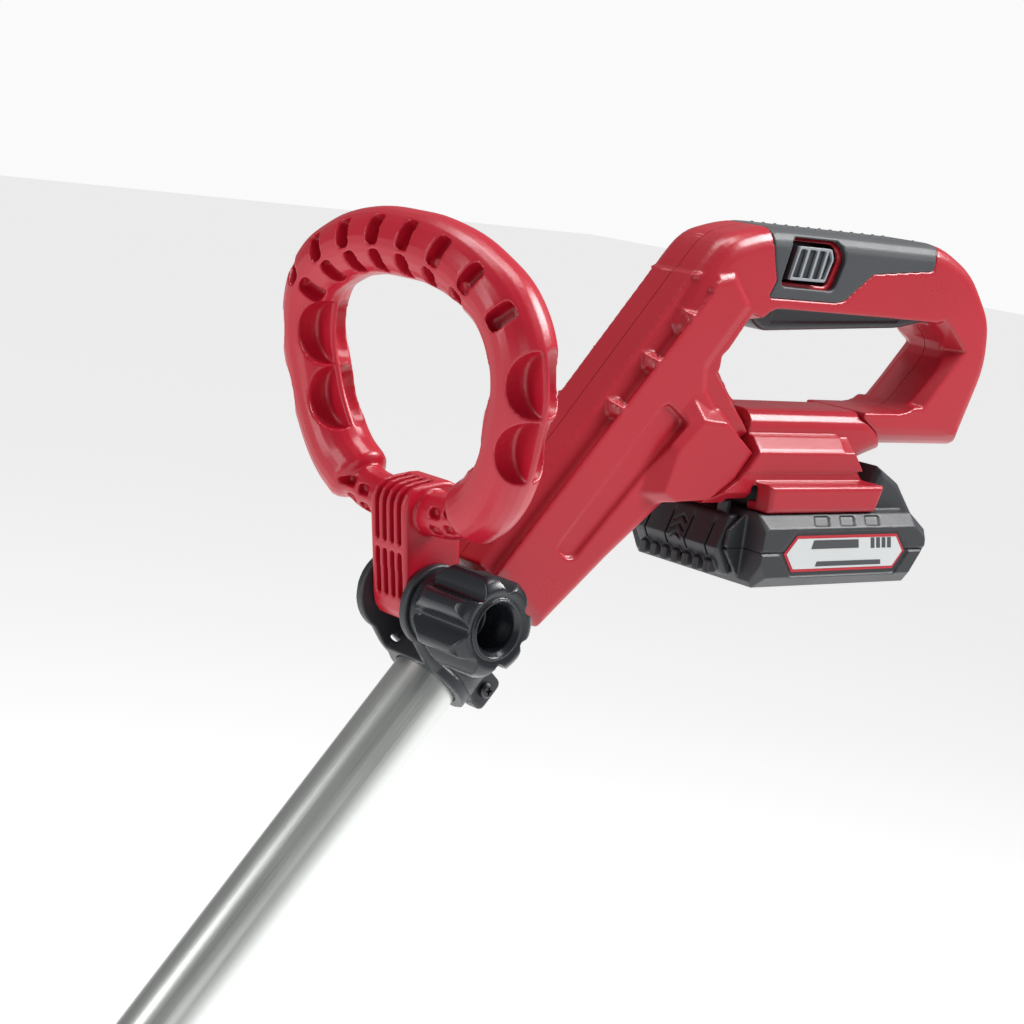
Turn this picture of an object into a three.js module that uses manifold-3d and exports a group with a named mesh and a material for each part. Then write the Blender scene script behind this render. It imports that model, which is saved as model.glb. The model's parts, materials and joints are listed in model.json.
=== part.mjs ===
// Battery string trimmer. Millimetres, +Z up, +X towards the rear grip, -Y is the left side.
// The origin is on the ground, on the axis of the line head.
// The upper tool is drawn around the axis of the loop handle's knob, the head around the origin.
import * as THREE from 'three';
import { mergeVertices } from 'three/addons/utils/BufferGeometryUtils.js';
import Module from 'manifold-3d';

const wasm = await Module();
wasm.setup();

// ---------------------------------------------------------------- driving dimensions
const GAP = 0.3; // clearance between pieces that touch
const FAR = 400; // length of a tool that cuts right through

const TUBE_TILT = THREE.MathUtils.degToRad(50); // tube above the horizontal
const KNOB_ABOVE_TUBE = 29; // knob axis to tube axis
const HEAD_PIVOT = { x: 10, z: 140 };
const KNOB_ALONG_TUBE = 680; // head pivot to the foot of the knob axis

const UPPER_TUBE = { outer: 13, bore: 11.9, low: -400, high: 115 };
const LOWER_TUBE = { outer: 11.4, bore: 10.4, low: -652, high: -190 };
const LOCK = { collarLow: -388, collarHigh: -345, sleeveLow: -424, radius: 18.5 };

const BODY_HALF_WIDTH = 18;
const BODY_WALL = 2.5;
const SHOULDER_HALF_WIDTH = 22;
const HANDLE_HALF_WIDTH = 16.5;
const HANDLE_CAVITY_HALF_WIDTH = 11.6;
const COVER_THICKNESS = 2.4;
const BAR_HALF_WIDTH = 14;
const BASE_HALF_WIDTH = 24;
const RAIL_SKIRT_HALF_WIDTH = 33.5;

const BATTERY_HALF_WIDTH = 37;
const BATTERY_WALL = 2.2;
const BATTERY_SPLIT = 21.5; // height of the joint between the two battery cases
const CELL = { radius: 9.1, halfLength: 31.5, count: 5, pitch: 18.8, firstX: 160.5, z: 18.5 };
const RAIL = { neck: 20.5, head: 25, neckTop: 40.6, top: 46, front: 157, rear: 223 };

const TRIGGER_PIVOT = { x: 255, z: 120 };
const TRIGGER_HALF_WIDTH = 8;

const LOOP_LEAN = THREE.MathUtils.degToRad(10); // loop handle forward of the vertical
const LOOP_SECTION = 12.2; // radius of the rim's section
const EAR = { inner: 10.8, outer: 14.4, radius: 15.5 };
const KNOB = { back: 18.5, face: 48, radius: 19, lobes: 7, hole: 8.6 };
const BOLT_RADIUS = 3.6;

const MOTOR_HOUSING = { radius: 43, wall: 2.6, low: 51.8, shoulder: 118 };
const SPOOL = { radius: 45, cupTop: 45, capTop: 15, capLow: 6, flange: 37 };
const GUARD = { radius: 140, plateLow: 48.5, plateHigh: 51.5, skirtLow: 14, wall: 2.6 };
const EDGE_WIRE = { radius: 2, reach: 150, pivotZ: 68 };

// ---------------------------------------------------------------- finishes
const finish = (color, roughness, metalness = 0) => () =>
  new THREE.MeshStandardMaterial({ color, roughness, metalness });
const redPlastic = finish(0xa3162a, 0.38);
const brightRedPlastic = finish(0xc01428, 0.45);
const blackPlastic = finish(0x1b1c1f, 0.5);
const rubberGrip = finish(0x34383c, 0.75);
const greyPlastic = finish(0x7c8084, 0.5);
const aluminium = finish(0xb9bdb8, 0.4, 1);
const steel = finish(0x9a9da1, 0.35, 1);
const cellBlue = finish(0x2f5f8f, 0.45);
const orangeLine = finish(0xd9701c, 0.4);
const leadBlack = finish(0x101010, 0.6);

// ---------------------------------------------------------------- solids
// Turns a closed geometry into a solid that faces outwards.
function toSolid(geometry) {
  geometry.deleteAttribute('normal');
  geometry.deleteAttribute('uv');
  const merged = mergeVertices(geometry, 1e-3);
  const index = merged.index.array;
  const corners = [];
  for (let i = 0; i < index.length; i += 3) {
    const [a, b, c] = [index[i], index[i + 1], index[i + 2]];
    if (a !== b && b !== c && c !== a) corners.push(a, b, c);
  }
  const build = (triangles) => new wasm.Manifold(new wasm.Mesh({
    numProp: 3,
    vertProperties: new Float32Array(merged.attributes.position.array),
    triVerts: new Uint32Array(triangles),
  }));
  const solid = build(corners);
  return solid.volume() > 0 ? solid : build(corners.reverse());
}

const joined = (...solids) => solids.reduce((sum, solid) => sum.add(solid));
const cutBy = (solid, ...tools) => tools.reduce((rest, tool) => rest.subtract(tool), solid);

// Corners are [x, y] or [x, y, rounding]; rounding is where the curve starts, measured from the corner.
function trace(path, corners) {
  const at = ([x, y]) => new THREE.Vector2(x, y);
  corners.forEach((corner, i) => {
    const before = at(corners.at(i - 1));
    const after = at(corners[(i + 1) % corners.length]);
    const here = at(corner);
    const rounding = corner[2] ?? 0;
    const start = here.clone().add(before.sub(here).setLength(rounding));
    const end = here.clone().add(after.sub(here).setLength(rounding));
    if (i === 0) path.moveTo(start.x, start.y);
    else path.lineTo(start.x, start.y);
    if (rounding > 0) path.quadraticCurveTo(here.x, here.y, end.x, end.y);
  });
  path.closePath();
  return path;
}

function outline(corners, ...holes) {
  const shape = trace(new THREE.Shape(), corners);
  shape.holes = holes.map((hole) => trace(new THREE.Path(), hole));
  return shape;
}

function extruded(shape, halfWidth, chamfer = 0, curveSegments = 4) {
  const geometry = new THREE.ExtrudeGeometry(shape, {
    depth: 2 * (halfWidth - chamfer),
    bevelEnabled: chamfer > 0,
    bevelThickness: chamfer,
    bevelSize: chamfer,
    bevelOffset: -chamfer,
    bevelSegments: 1,
    curveSegments,
  });
  return geometry.translate(0, 0, chamfer - halfWidth);
}

// A slab whose outline lies in the XZ plane, centred on Y = 0 or on centreY.
function slab(shape, halfWidth, chamfer = 0, centreY = 0) {
  const geometry = extruded(shape, halfWidth, chamfer);
  return toSolid(geometry.rotateX(Math.PI / 2).translate(0, centreY, 0));
}

// A slab whose outline lies in the XY plane, from z low to z high.
function plate(shape, low, high, curveSegments = 8) {
  const geometry = extruded(shape, (high - low) / 2, 0, curveSegments);
  return toSolid(geometry.translate(0, 0, (high + low) / 2));
}

function box(x0, x1, y0, y1, z0, z1) {
  const geometry = new THREE.BoxGeometry(x1 - x0, y1 - y0, z1 - z0);
  return toSolid(geometry.translate((x0 + x1) / 2, (y0 + y1) / 2, (z0 + z1) / 2));
}

// A revolved profile of [radius, along] corners, its axis running from start in direction axis.
function turned(profile, start, axis, segments = 20) {
  const points = profile.map(([radius, along]) => new THREE.Vector2(radius, along));
  const geometry = new THREE.LatheGeometry(points, segments);
  const turn = new THREE.Quaternion().setFromUnitVectors(new THREE.Vector3(0, 1, 0), axis);
  geometry.applyQuaternion(turn).translate(start.x, start.y, start.z);
  return toSolid(geometry);
}

const rod = (radius, low, high) => [[0, low], [radius, low], [radius, high], [0, high]];
const ring = (inner, outer, low, high) =>
  [[inner, low], [outer, low], [outer, high], [inner, high], [inner, low]];

const V = (x, y, z) => new THREE.Vector3(x, y, z);
const ALONG_Y = V(0, 1, 0);
const ALONG_Z = V(0, 0, 1);
const ALONG_TUBE = V(Math.cos(TUBE_TILT), 0, Math.sin(TUBE_TILT));
const ABOVE_TUBE = V(-Math.sin(TUBE_TILT), 0, Math.cos(TUBE_TILT));
const KNOB_FOOT = ABOVE_TUBE.clone().multiplyScalar(-KNOB_ABOVE_TUBE);

const aboutY = (profile, x, z, segments) => turned(profile, V(x, 0, z), ALONG_Y, segments);
const aboutZ = (profile, segments) => turned(profile, V(0, 0, 0), ALONG_Z, segments);
const aboutTube = (profile, segments) => turned(profile, KNOB_FOOT, ALONG_TUBE, segments);

// A corner given along the tube and above the knob's level, as [x, z].
function tubeCorner(along, above, rounding = 0) {
  const point = ALONG_TUBE.clone().multiplyScalar(along).addScaledVector(ABOVE_TUBE, above);
  return [point.x, point.z, rounding];
}

// A rod of round section along a curve.
function bentRod(points, radius, steps, sides = 8) {
  const curve = new THREE.CatmullRomCurve3(points.map(([x, y, z]) => V(x, y, z)), false, 'centripetal');
  const section = new THREE.Shape();
  for (let i = 0; i < sides; i += 1) {
    const angle = (2 * Math.PI * i) / sides;
    const [x, y] = [radius * Math.cos(angle), radius * Math.sin(angle)];
    if (i === 0) section.moveTo(x, y);
    else section.lineTo(x, y);
  }
  section.closePath();
  return toSolid(new THREE.ExtrudeGeometry(section, { steps, extrudePath: curve, curveSegments: 1 }));
}

// A helical spring of flat-ended wire, standing along axis from start.
function spring(start, axis, length, radius, wire, turns) {
  const across = Math.abs(axis.y) > 0.5 ? V(1, 0, 0) : V(0, 1, 0);
  const side = new THREE.Vector3().crossVectors(axis, across);
  const points = [];
  const perTurn = 6;
  for (let i = 0; i <= turns * perTurn; i += 1) {
    const angle = (2 * Math.PI * i) / perTurn;
    const point = start.clone().addScaledVector(axis, wire + (length - 2 * wire) * i / (turns * perTurn));
    point.addScaledVector(across, radius * Math.cos(angle));
    point.addScaledVector(side, radius * Math.sin(angle));
    points.push([point.x, point.y, point.z]);
  }
  return bentRod(points, wire, turns * perTurn, 4);
}

function ellipsoid(centre, radii, widthSegments = 14, heightSegments = 8) {
  const geometry = new THREE.SphereGeometry(1, widthSegments, heightSegments);
  return toSolid(geometry.scale(...radii).translate(...centre));
}

function addPiece(group, name, solid, paint) {
  const { vertProperties, triVerts } = solid.asOriginal().simplify(0.01).getMesh();
  const geometry = new THREE.BufferGeometry();
  geometry.setAttribute('position', new THREE.BufferAttribute(vertProperties, 3));
  geometry.setIndex(new THREE.BufferAttribute(triVerts, 1));
  geometry.computeVertexNormals();
  const piece = new THREE.Mesh(geometry, paint());
  piece.name = name;
  group.add(piece);
}

const leftSide = box(-FAR, FAR, -FAR, -GAP / 2, -FAR, FAR);
const rightSide = box(-FAR, FAR, GAP / 2, FAR, -FAR, FAR);

// ---------------------------------------------------------------- groups
const trimmer = new THREE.Group();
const upperTool = new THREE.Group();
const lineHead = new THREE.Group();
trimmer.add(upperTool, lineHead);
upperTool.position.set(HEAD_PIVOT.x, 0, HEAD_PIVOT.z)
  .addScaledVector(ALONG_TUBE, KNOB_ALONG_TUBE)
  .addScaledVector(ABOVE_TUBE, KNOB_ABOVE_TUBE);

// ---------------------------------------------------------------- rear housing and grip
const bodyCorners = [
  tubeCorner(24, -5.5), tubeCorner(90, -4.5), [110, 127.5], [128, 131], [141, 117], [121, 92], [122, 84],
  [135, 71], [150, 60], [129, 41], tubeCorner(103, -59), tubeCorner(64, -51), tubeCorner(24, -44.5),
];
const bodyCavityCorners = [
  tubeCorner(27, -8.5), tubeCorner(92, -7), [108, 125], [118, 124], [116, 92], [117, 82], [136, 60],
  [126, 45], tubeCorner(103, -55.5), tubeCorner(64, -47.5), tubeCorner(27, -42.6),
];
const handleCorners = [
  [100, 108], [112, 129, 8], [124, 143, 6], [146, 149, 8], [258, 149, 8], [282, 139, 6], [300, 119, 6],
  [303, 98, 9], [289, 62], [128, 62], [110, 80],
];
const fingerHole = [
  [151, 76, 6], [252, 76, 6], [279, 104, 12], [262, 116, 10], [152, 117, 5], [134, 95, 6],
];
// The seams of the piece over the battery, seen from the side; inset moves every seam inwards.
const baseSeams = (inset) => [
  [152 + inset, 82], [150.7 + inset, 73], [148.7 + inset, 59.5], [140 + inset, 48.5],
  [129 + inset, 41.5 - inset], [118, 34 - inset], [118, 10], [262, 10], [262, 60.8 - inset],
  [236.5 - inset, 61.3 - inset], [230 - inset, 68], [221 - inset, 73.5], [221 - inset, 82],
];
const coverRegion = (outset) => [
  [148.5 - outset, 152], [148 - outset, 143], [150 - outset, 136], [153 - outset, 128],
  [149.5 - outset, 121 - outset], [191, 121 - outset], [196, 122 - outset], [212, 134 - outset],
  [251 + outset, 137.5 - outset], [252 + outset, 144], [259 + outset, 152],
];

// The grip under the rubber cover: the handle made thinner by the cover.
function gripCore(clearance) {
  const inset = COVER_THICKNESS + GAP - clearance;
  const corners = [[120, 100], [120, 149 - inset], [263, 149 - inset], [290, 130], [290, 100]];
  return slab(outline(corners), HANDLE_HALF_WIDTH - inset, 5);
}

const handleOuter = slab(outline(handleCorners, fingerHole), HANDLE_HALF_WIDTH, 5);

function gripCover() {
  const region = slab(outline(coverRegion(0)), FAR);
  const window = slab(outline(lockWindow(1.6)), FAR);
  return cutBy(handleOuter.intersect(region), gripCore(GAP), window);
}

// The window of the lock-off button in each side of the grip.
const lockWindow = (outset) => [
  [161.5 - outset, 144 + outset, 1.5], [187.5 + outset, 144 + outset, 1.5],
  [191 + outset, 139, 1.5], [186 + outset, 127 - outset, 1.5], [157 - outset, 127.6 - outset, 1.5],
];

const housingScrews = [
  { name: 'housing_screw_front', x: 88, z: 24.5 },
  { name: 'housing_screw_top', x: 136, z: 138 },
  { name: 'housing_screw_rear', x: 289, z: 108 },
  { name: 'housing_screw_bar', x: 262, z: 68.5 },
];
const SCREW = { shank: 1.6, head: 3.3, headThickness: 2.2, tip: -9, seat: 8.5 };
const screwProfile = [
  [0, SCREW.tip], [SCREW.shank, SCREW.tip], [SCREW.shank, SCREW.seat], [SCREW.head, SCREW.seat],
  [SCREW.head, SCREW.seat + SCREW.headThickness], [0, SCREW.seat + SCREW.headThickness],
];
const screwRoom = [
  [0, SCREW.tip - GAP], [SCREW.shank + GAP, SCREW.tip - GAP], [SCREW.shank + GAP, SCREW.seat - GAP],
  [SCREW.head + GAP, SCREW.seat - GAP], [SCREW.head + GAP, FAR], [0, FAR],
];
const tubeScrewProfile = [[0, -21.5], [4, -21.5], [4, -19], [2, -19], [2, 17], [0, 17]];
const tubeScrewRoom = [
  [0, -FAR], [4.4, -FAR], [4.4, -19 + GAP], [2 + GAP, -19 + GAP], [2 + GAP, 17.4], [0, 17.4],
];
const TUBE_SCREW = tubeCorner(29, -KNOB_ABOVE_TUBE);

function housingShell() {
  const body = slab(outline(bodyCorners), BODY_HALF_WIDTH, 4.5);
  const shoulder = slab(outline([
    [101, 43], [106, 60], [118, 72], [131, 71], [150, 58], [150, 40], [128, 40], [109, 39.5],
  ]), SHOULDER_HALF_WIDTH, 5);
  const grip = cutBy(handleOuter, cutBy(slab(outline(coverRegion(GAP)), FAR), gripCore(0)));
  const base = slab(outline(baseSeams(0)), FAR);
  const bodyCavity = cutBy(
    slab(outline(bodyCavityCorners), BODY_HALF_WIDTH - BODY_WALL, 2.5),
    ...[-1, 1].map((side) => alongGroove(grooveBacking, side, 10, 176)),
  );
  const gripCavity = slab(outline([
    [112, 116], [114, 126, 4], [128, 137.5, 6], [146, 144], [256, 144], [261, 138],
    [261, 120.5], [156, 120.5], [146, 116], [124, 102],
  ]), HANDLE_CAVITY_HALF_WIDTH, 2);
  const triggerSlot = box(149.6, 264, -TRIGGER_HALF_WIDTH - 0.5, TRIGGER_HALF_WIDTH + 0.5, 105, 126);
  const ribs = [44, 98].map((along) => slab(outline([
    tubeCorner(along, -7), tubeCorner(along + 3, -7), tubeCorner(along + 3, -46), tubeCorner(along, -46),
  ]), BODY_HALF_WIDTH - 1.5));
  const bosses = housingScrews.slice(0, 1).map(({ x, z }) => aboutY(rod(4.6, -16, 16), x, z, 12));
  const shell = joined(cutBy(joined(body, grip, shoulder), bodyCavity, gripCavity), ...ribs, ...bosses);
  const grooves = [-1, 1].flatMap((side) => [sideGroove(side), alongGroove(topChamfer, side, 10, 200)]);
  const panels = [-1, 1].map((side) => slab(outline([
    tubeCorner(49, -26, 3), tubeCorner(124, -26, 4), tubeCorner(126, -40, 3), tubeCorner(51, -36, 3),
  ]), 2, 0, side * (BODY_HALF_WIDTH + 1)));
  return cutBy(
    shell, base, triggerSlot, ...grooves, ...panels,
    slab(outline(lockWindow(0)), FAR),
    aboutTube(rod(UPPER_TUBE.outer + GAP, 10, UPPER_TUBE.high + 1), 24),
    ...housingScrews.map(({ x, z }) => aboutY(screwRoom, x, z, 12)),
    aboutY(tubeScrewRoom, TUBE_SCREW[0], TUBE_SCREW[1], 12),
  );
}

// A section given across the tool and above the knob's level, run along the tube on one side.
function alongGroove(corners, side, start, end) {
  const geometry = new THREE.ExtrudeGeometry(outline(corners), { depth: end - start, bevelEnabled: false });
  const basis = new THREE.Matrix4().makeBasis(V(0, side, 0), ABOVE_TUBE, ALONG_TUBE);
  return toSolid(geometry.translate(0, 0, start).applyMatrix4(basis));
}

const grooveSection = [[10.5, 8], [11.5, -6], [13, -13.5], [18, -12], [26, -9], [26, 8]];
const topChamfer = [[11, 20], [11, -5.2], [17, -9.5], [26, -15], [40, -15], [40, 20]];
const grooveBacking = [[8, 8], [9, -8], [11, -16.5], [18, -14.5], [26, -12], [26, 8]];

// The long groove between the top face and the side face, bridged by three ribs.
function sideGroove(side) {
  const stretches = [[20, 104], [109, 128], [133, 152], [157, 172]];
  return joined(...stretches.map(([start, end]) => alongGroove(grooveSection, side, start, end)));
}

function addHousing() {
  const shell = housingShell();
  addPiece(upperTool, 'housing_left', shell.intersect(leftSide), redPlastic);
  addPiece(upperTool, 'housing_right', shell.intersect(rightSide), redPlastic);
  addPiece(upperTool, 'grip_cover', gripCover(), rubberGrip);
  for (const { name, x, z } of housingScrews) {
    addPiece(upperTool, name, aboutY(screwProfile, x, z, 12), steel);
  }
  addPiece(upperTool, 'tube_screw', aboutY(tubeScrewProfile, TUBE_SCREW[0], TUBE_SCREW[1], 12), steel);
}

// ---------------------------------------------------------------- piece over the battery
function addBatteryBase() {
  const bar = slab(outline([
    [140, 74], [245, 74], [245, 62], [230, 57.5], [219, 54], [140, 52],
  ]), BAR_HALF_WIDTH, 4);
  const block = slab(outline([
    [118, 38.5], [118, 62], [151, 66], [204, 66], [213, 58], [221, 49], [217, 38.5],
  ]), BASE_HALF_WIDTH, 4);
  const skirt = slab(outline([[150, 48], [221, 48], [217, 36.8], [150, 36.8]]), RAIL_SKIRT_HALF_WIDTH, 2);
  const outer = joined(bar, block, skirt).intersect(slab(outline(baseSeams(GAP)), FAR));
  const hollow = slab(outline([[152, 49], [152, 60], [200, 60], [206, 54], [206, 49]]), 18);
  const cavity = [
    box(138, 240, -RAIL.neck - 0.5, RAIL.neck + 0.5, 30, RAIL.neckTop + GAP),
    box(149, 240, -RAIL.head - 0.5, RAIL.head + 0.5, RAIL.neckTop - 0.4, RAIL.top + 0.5),
    box(152, 206, -10, 10, 45, 50),
  ];
  addPiece(upperTool, 'battery_base', cutBy(outer, hollow, ...cavity), redPlastic);
  const blades = [-6, 6].map((y) => box(153, 165, y - 0.5, y + 0.5, 41.8, 45.4));
  const terminals = joined(box(149.4, 154.5, -12, 12, 41.2, 46.2), ...blades);
  addPiece(upperTool, 'terminal_block', terminals, blackPlastic);
}

// ---------------------------------------------------------------- battery
const batteryCorners = [
  [147, 36.4], [137, 29], [136, 21], [148, 6.5], [244, 6.5], [254.5, 22], [253.5, 29], [242, 36.4],
];
const batteryInnerCorners = [
  [150, 34.2], [148.5, 29], [148.5, 12], [150, 8.7], [243, 8.7], [251.5, 22], [250.5, 29], [241, 34.2],
];

function addBattery() {
  const block = slab(outline(batteryCorners), BATTERY_HALF_WIDTH, 5);
  const corner = (side) => slab(outline([[120, 0], [120, 50], [146, 50], [146, 0]]), 6, 0, side * 32);
  const rails = [
    box(RAIL.front, RAIL.rear, -RAIL.neck, RAIL.neck, 30, 42),
    box(RAIL.front, RAIL.rear, -RAIL.head, RAIL.head, RAIL.neckTop, RAIL.top),
  ];
  const hump = slab(outline([
    [RAIL.rear, 30], [RAIL.rear, 47], [227, 54.5], [240, 48], [253.5, 34], [253, 28],
  ]), 26, 3);
  const slots = [-6, 6].map((y) => box(154, 168, y - 1.1, y + 1.1, 41.2, 46.5));
  const latchRoom = box(120, 144.6, -24.2, 24.2, 5, 44);
  const inner = slab(outline(batteryInnerCorners), BATTERY_HALF_WIDTH - BATTERY_WALL, 2);
  const spaceForHump = slab(outline([[226, 36], [228.5, 50.5], [238, 45], [248, 33], [226, 33]]), 22);
  const whole = cutBy(joined(block, ...rails, hump), corner(1), corner(-1), latchRoom, inner, spaceForHump,
    ...slots);
  const upperPart = box(-FAR, FAR, -FAR, FAR, BATTERY_SPLIT + GAP / 2, FAR);
  const lowerPart = box(-FAR, FAR, -FAR, FAR, -FAR, BATTERY_SPLIT - GAP / 2);
  addPiece(upperTool, 'battery_case_upper', whole.intersect(upperPart), blackPlastic);
  addPiece(upperTool, 'battery_case_lower', whole.intersect(lowerPart), blackPlastic);
  for (let i = 0; i < CELL.count; i += 1) {
    const profile = [
      [0, -CELL.halfLength], [CELL.radius, -CELL.halfLength], [CELL.radius, CELL.halfLength - 2],
      [CELL.radius - 3, CELL.halfLength - 1], [CELL.radius - 6, CELL.halfLength], [0, CELL.halfLength],
    ];
    const cell = aboutY(profile, CELL.firstX + CELL.pitch * i, CELL.z, 12);
    addPiece(upperTool, `battery_cell_${i + 1}`, cell, cellBlue);
  }
  addLatch();
}

function addLatch() {
  const face = slab(outline([
    [144, 34.5], [139, 34.5, 2], [133.5, 21], [134.5, 19], [141, 9.5, 1.5], [144, 9.5],
  ]), 23.6, 1);
  const hooks = [-1, 1].map((side) => box(140.5, 143.8, side * 16.5 - 2.5, side * 16.5 + 2.5, 30, 39.6));
  const ribs = [-2, -1, 0, 1, 2].map((i) => box(135.5, 140, i * 8 - 1.6, i * 8 + 1.6, 10.2, 15));
  const springRoom = aboutLatchSpring([[0, -1], [3.4, -1], [3.4, 12], [0, 12]]);
  const latch = cutBy(joined(face, ...hooks, ...ribs), springRoom);
  addPiece(upperTool, 'battery_latch', latch, blackPlastic);
  addPiece(upperTool, 'latch_spring', spring(V(140.5, 0, 14.6), ALONG_Z, 8, 2.2, 0.5, 4), steel);
}

const aboutLatchSpring = (profile) => turned(profile, V(140.5, 0, 14), ALONG_Z, 12);

// ---------------------------------------------------------------- trigger, switch and lock-off
function addControls() {
  const paddle = slab(outline([
    [151.5, 119, 2], [151.5, 111, 3], [158, 106.5, 4], [245, 111.5, 4], [262, 115, 2], [262, 123],
    [250, 124.5, 2], [243, 118.7], [165, 118.7], [163, 121.5], [157, 121.5],
  ]), TRIGGER_HALF_WIDTH, 1.2);
  const pinHole = aboutY(rod(2.4, -20, 20), TRIGGER_PIVOT.x, TRIGGER_PIVOT.z, 12);
  addPiece(upperTool, 'trigger', cutBy(paddle, pinHole), blackPlastic);
  addPiece(upperTool, 'trigger_pin', aboutY(rod(2, -8.3, 8.3), TRIGGER_PIVOT.x, TRIGGER_PIVOT.z, 12), steel);
  addPiece(upperTool, 'trigger_spring', spring(V(233, 0, 119.2), ALONG_Z, 9, 2.6, 0.6, 4), steel);
  const plungerAxis = (profile, segments) => turned(profile, V(203, 0, 0), ALONG_Z, segments);
  const switchBody = cutBy(
    box(193, 223, -8.5, 8.5, 125.5, 142),
    plungerAxis(rod(2.8, 120, 135), 12),
  );
  addPiece(upperTool, 'switch_body', switchBody, blackPlastic);
  addPiece(upperTool, 'switch_plunger', plungerAxis(rod(2.3, 119.2, 130), 12), redPlastic);
  addLockOff();
  const [endX, endZ] = tubeCorner(UPPER_TUBE.high + 2, -KNOB_ABOVE_TUBE);
  const leadEnd = [endX, 0, endZ];
  const switchLead = bentRod([
    [191, 7, 133], [186, 9.8, 126], [165, 9.9, 124], [146, 9.9, 124], [128, 9, 120], [112, 6, 106],
    leadEnd,
  ], 1.1, 24, 6);
  addPiece(upperTool, 'switch_lead', switchLead, leadBlack);
}

function addLockOff() {
  const plates = [-1, 1].map((side) => slab(outline([
    [162.5, 142.5, 1], [182, 142.5, 1], [184, 138.5, 1], [180.5, 128.8, 1], [158.8, 128.8, 1],
  ]), 2, 0.5, side * 14.7));
  const ribs = [];
  for (const side of [-1, 1]) {
    for (const x of [166.5, 173.5]) {
      ribs.push(slab(outline([
        [x, 141.5], [x + 1.8, 141.5], [x - 1.2, 130], [x - 3, 130],
      ]), 1, 0, side * 16.4));
    }
  }
  const crossbar = box(166, 176, -14, 14, 130.5, 138.5);
  addPiece(upperTool, 'lock_off_slider', joined(crossbar, ...plates, ...ribs), greyPlastic);
  addPiece(upperTool, 'lock_off_spring', spring(V(176.4, 0, 134.5), V(1, 0, 0), 9, 2.4, 0.5, 4), steel);
}

// ---------------------------------------------------------------- tubes, bracket and twist lock
const CLAMP = { low: -17, high: 19, outer: 17.2 };

function addTubes() {
  const upper = cutBy(
    aboutTube(ring(UPPER_TUBE.bore, UPPER_TUBE.outer, UPPER_TUBE.low, UPPER_TUBE.high), 24),
    aboutY(rod(2 + GAP, -20, 20), TUBE_SCREW[0], TUBE_SCREW[1], 12),
  );
  addPiece(upperTool, 'upper_tube', upper, aluminium);
  const lower = aboutTube(ring(LOWER_TUBE.bore, LOWER_TUBE.outer, LOWER_TUBE.low, LOWER_TUBE.high), 24);
  addPiece(upperTool, 'lower_tube', lower, aluminium);
  addPiece(upperTool, 'coiled_lead', aboutTube(rod(7, 36, 108), 12), leadBlack);
  addPiece(upperTool, 'lower_lead', aboutTube(rod(3, -640, -185), 8), leadBlack);
}

function addBracket() {
  const clampBand = aboutTube(rod(CLAMP.outer, CLAMP.low, CLAMP.high), 24);
  const saddle = slab(outline([
    tubeCorner(CLAMP.low, -20), tubeCorner(CLAMP.low, -12, 3), tubeCorner(-13, 6, 4),
    tubeCorner(13, 6, 4), tubeCorner(CLAMP.high, -12, 3), tubeCorner(CLAMP.high, -20),
  ]), EAR.outer);
  const ears = aboutY(rod(EAR.radius, -EAR.outer, EAR.outer), 0, 0, 24);
  const lugs = slab(outline([
    tubeCorner(-12, -42), tubeCorner(-12, -54, 3), tubeCorner(2, -54, 3), tubeCorner(2, -42),
  ]), 8.5);
  const between = slab(outline([
    tubeCorner(-40, -14.3), tubeCorner(-40, 40), tubeCorner(40, 40), tubeCorner(40, -14.3),
  ]), EAR.inner);
  const slit = slab(outline([
    tubeCorner(-40, -35), tubeCorner(-40, -70), tubeCorner(40, -70), tubeCorner(40, -35),
  ]), 1.5);
  const [screwX, screwZ] = tubeCorner(-5, -48.5);
  const bracket = cutBy(
    joined(clampBand, saddle, ears, lugs), between, slit,
    aboutTube(rod(UPPER_TUBE.outer + GAP, -60, 60), 28),
    aboutY(rod(BOLT_RADIUS + GAP, -20, 20), 0, 0, 16),
    aboutY(rod(1.6 + GAP, -20, 20), screwX, screwZ, 12),
  );
  addPiece(upperTool, 'loop_bracket', bracket, blackPlastic);
  const screwHead = [[0, -11], [3, -11], [3, -8.8], [1.6, -8.8], [1.6, 8.4], [0, 8.4]];
  addPiece(upperTool, 'bracket_screw', aboutY(screwHead, screwX, screwZ, 12), steel);
}

function addTwistLock() {
  const { collarLow, collarHigh, sleeveLow, radius } = LOCK;
  const collarBore = UPPER_TUBE.outer + GAP;
  const sleeveBore = LOWER_TUBE.outer + GAP;
  const collar = aboutTube([
    [collarBore, collarLow], [radius - 1, collarLow], [radius - 1, collarHigh - 6],
    [radius - 3, collarHigh], [collarBore, collarHigh], [collarBore, collarLow],
  ], 24);
  addPiece(upperTool, 'lock_collar', collar, blackPlastic);
  const grooves = [];
  for (let i = 0; i < 8; i += 1) {
    const angle = (2 * Math.PI * i) / 8;
    const across = V(0, 1, 0).multiplyScalar(Math.cos(angle) * (radius + 1.6));
    const start = KNOB_FOOT.clone().add(across)
      .addScaledVector(ABOVE_TUBE, Math.sin(angle) * (radius + 1.6));
    grooves.push(turned(rod(3, sleeveLow + 5, collarLow - 5), start, ALONG_TUBE, 8));
  }
  const tubeEnd = UPPER_TUBE.low - GAP;
  const sleeve = aboutTube([
    [sleeveBore, sleeveLow], [radius - 3.5, sleeveLow], [radius, sleeveLow + 4], [radius, collarLow - GAP],
    [collarBore, collarLow - GAP], [collarBore, tubeEnd], [sleeveBore, tubeEnd], [sleeveBore, sleeveLow],
  ], 24);
  addPiece(upperTool, 'lock_sleeve', cutBy(sleeve, ...grooves), redPlastic);
}

// ---------------------------------------------------------------- loop handle
// Drawn in its own plane: depth along X, across along Y, height along Z, then leaned forward.
const lean = (solid) => solid.rotate([0, -THREE.MathUtils.radToDeg(LOOP_LEAN), 0]);

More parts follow.
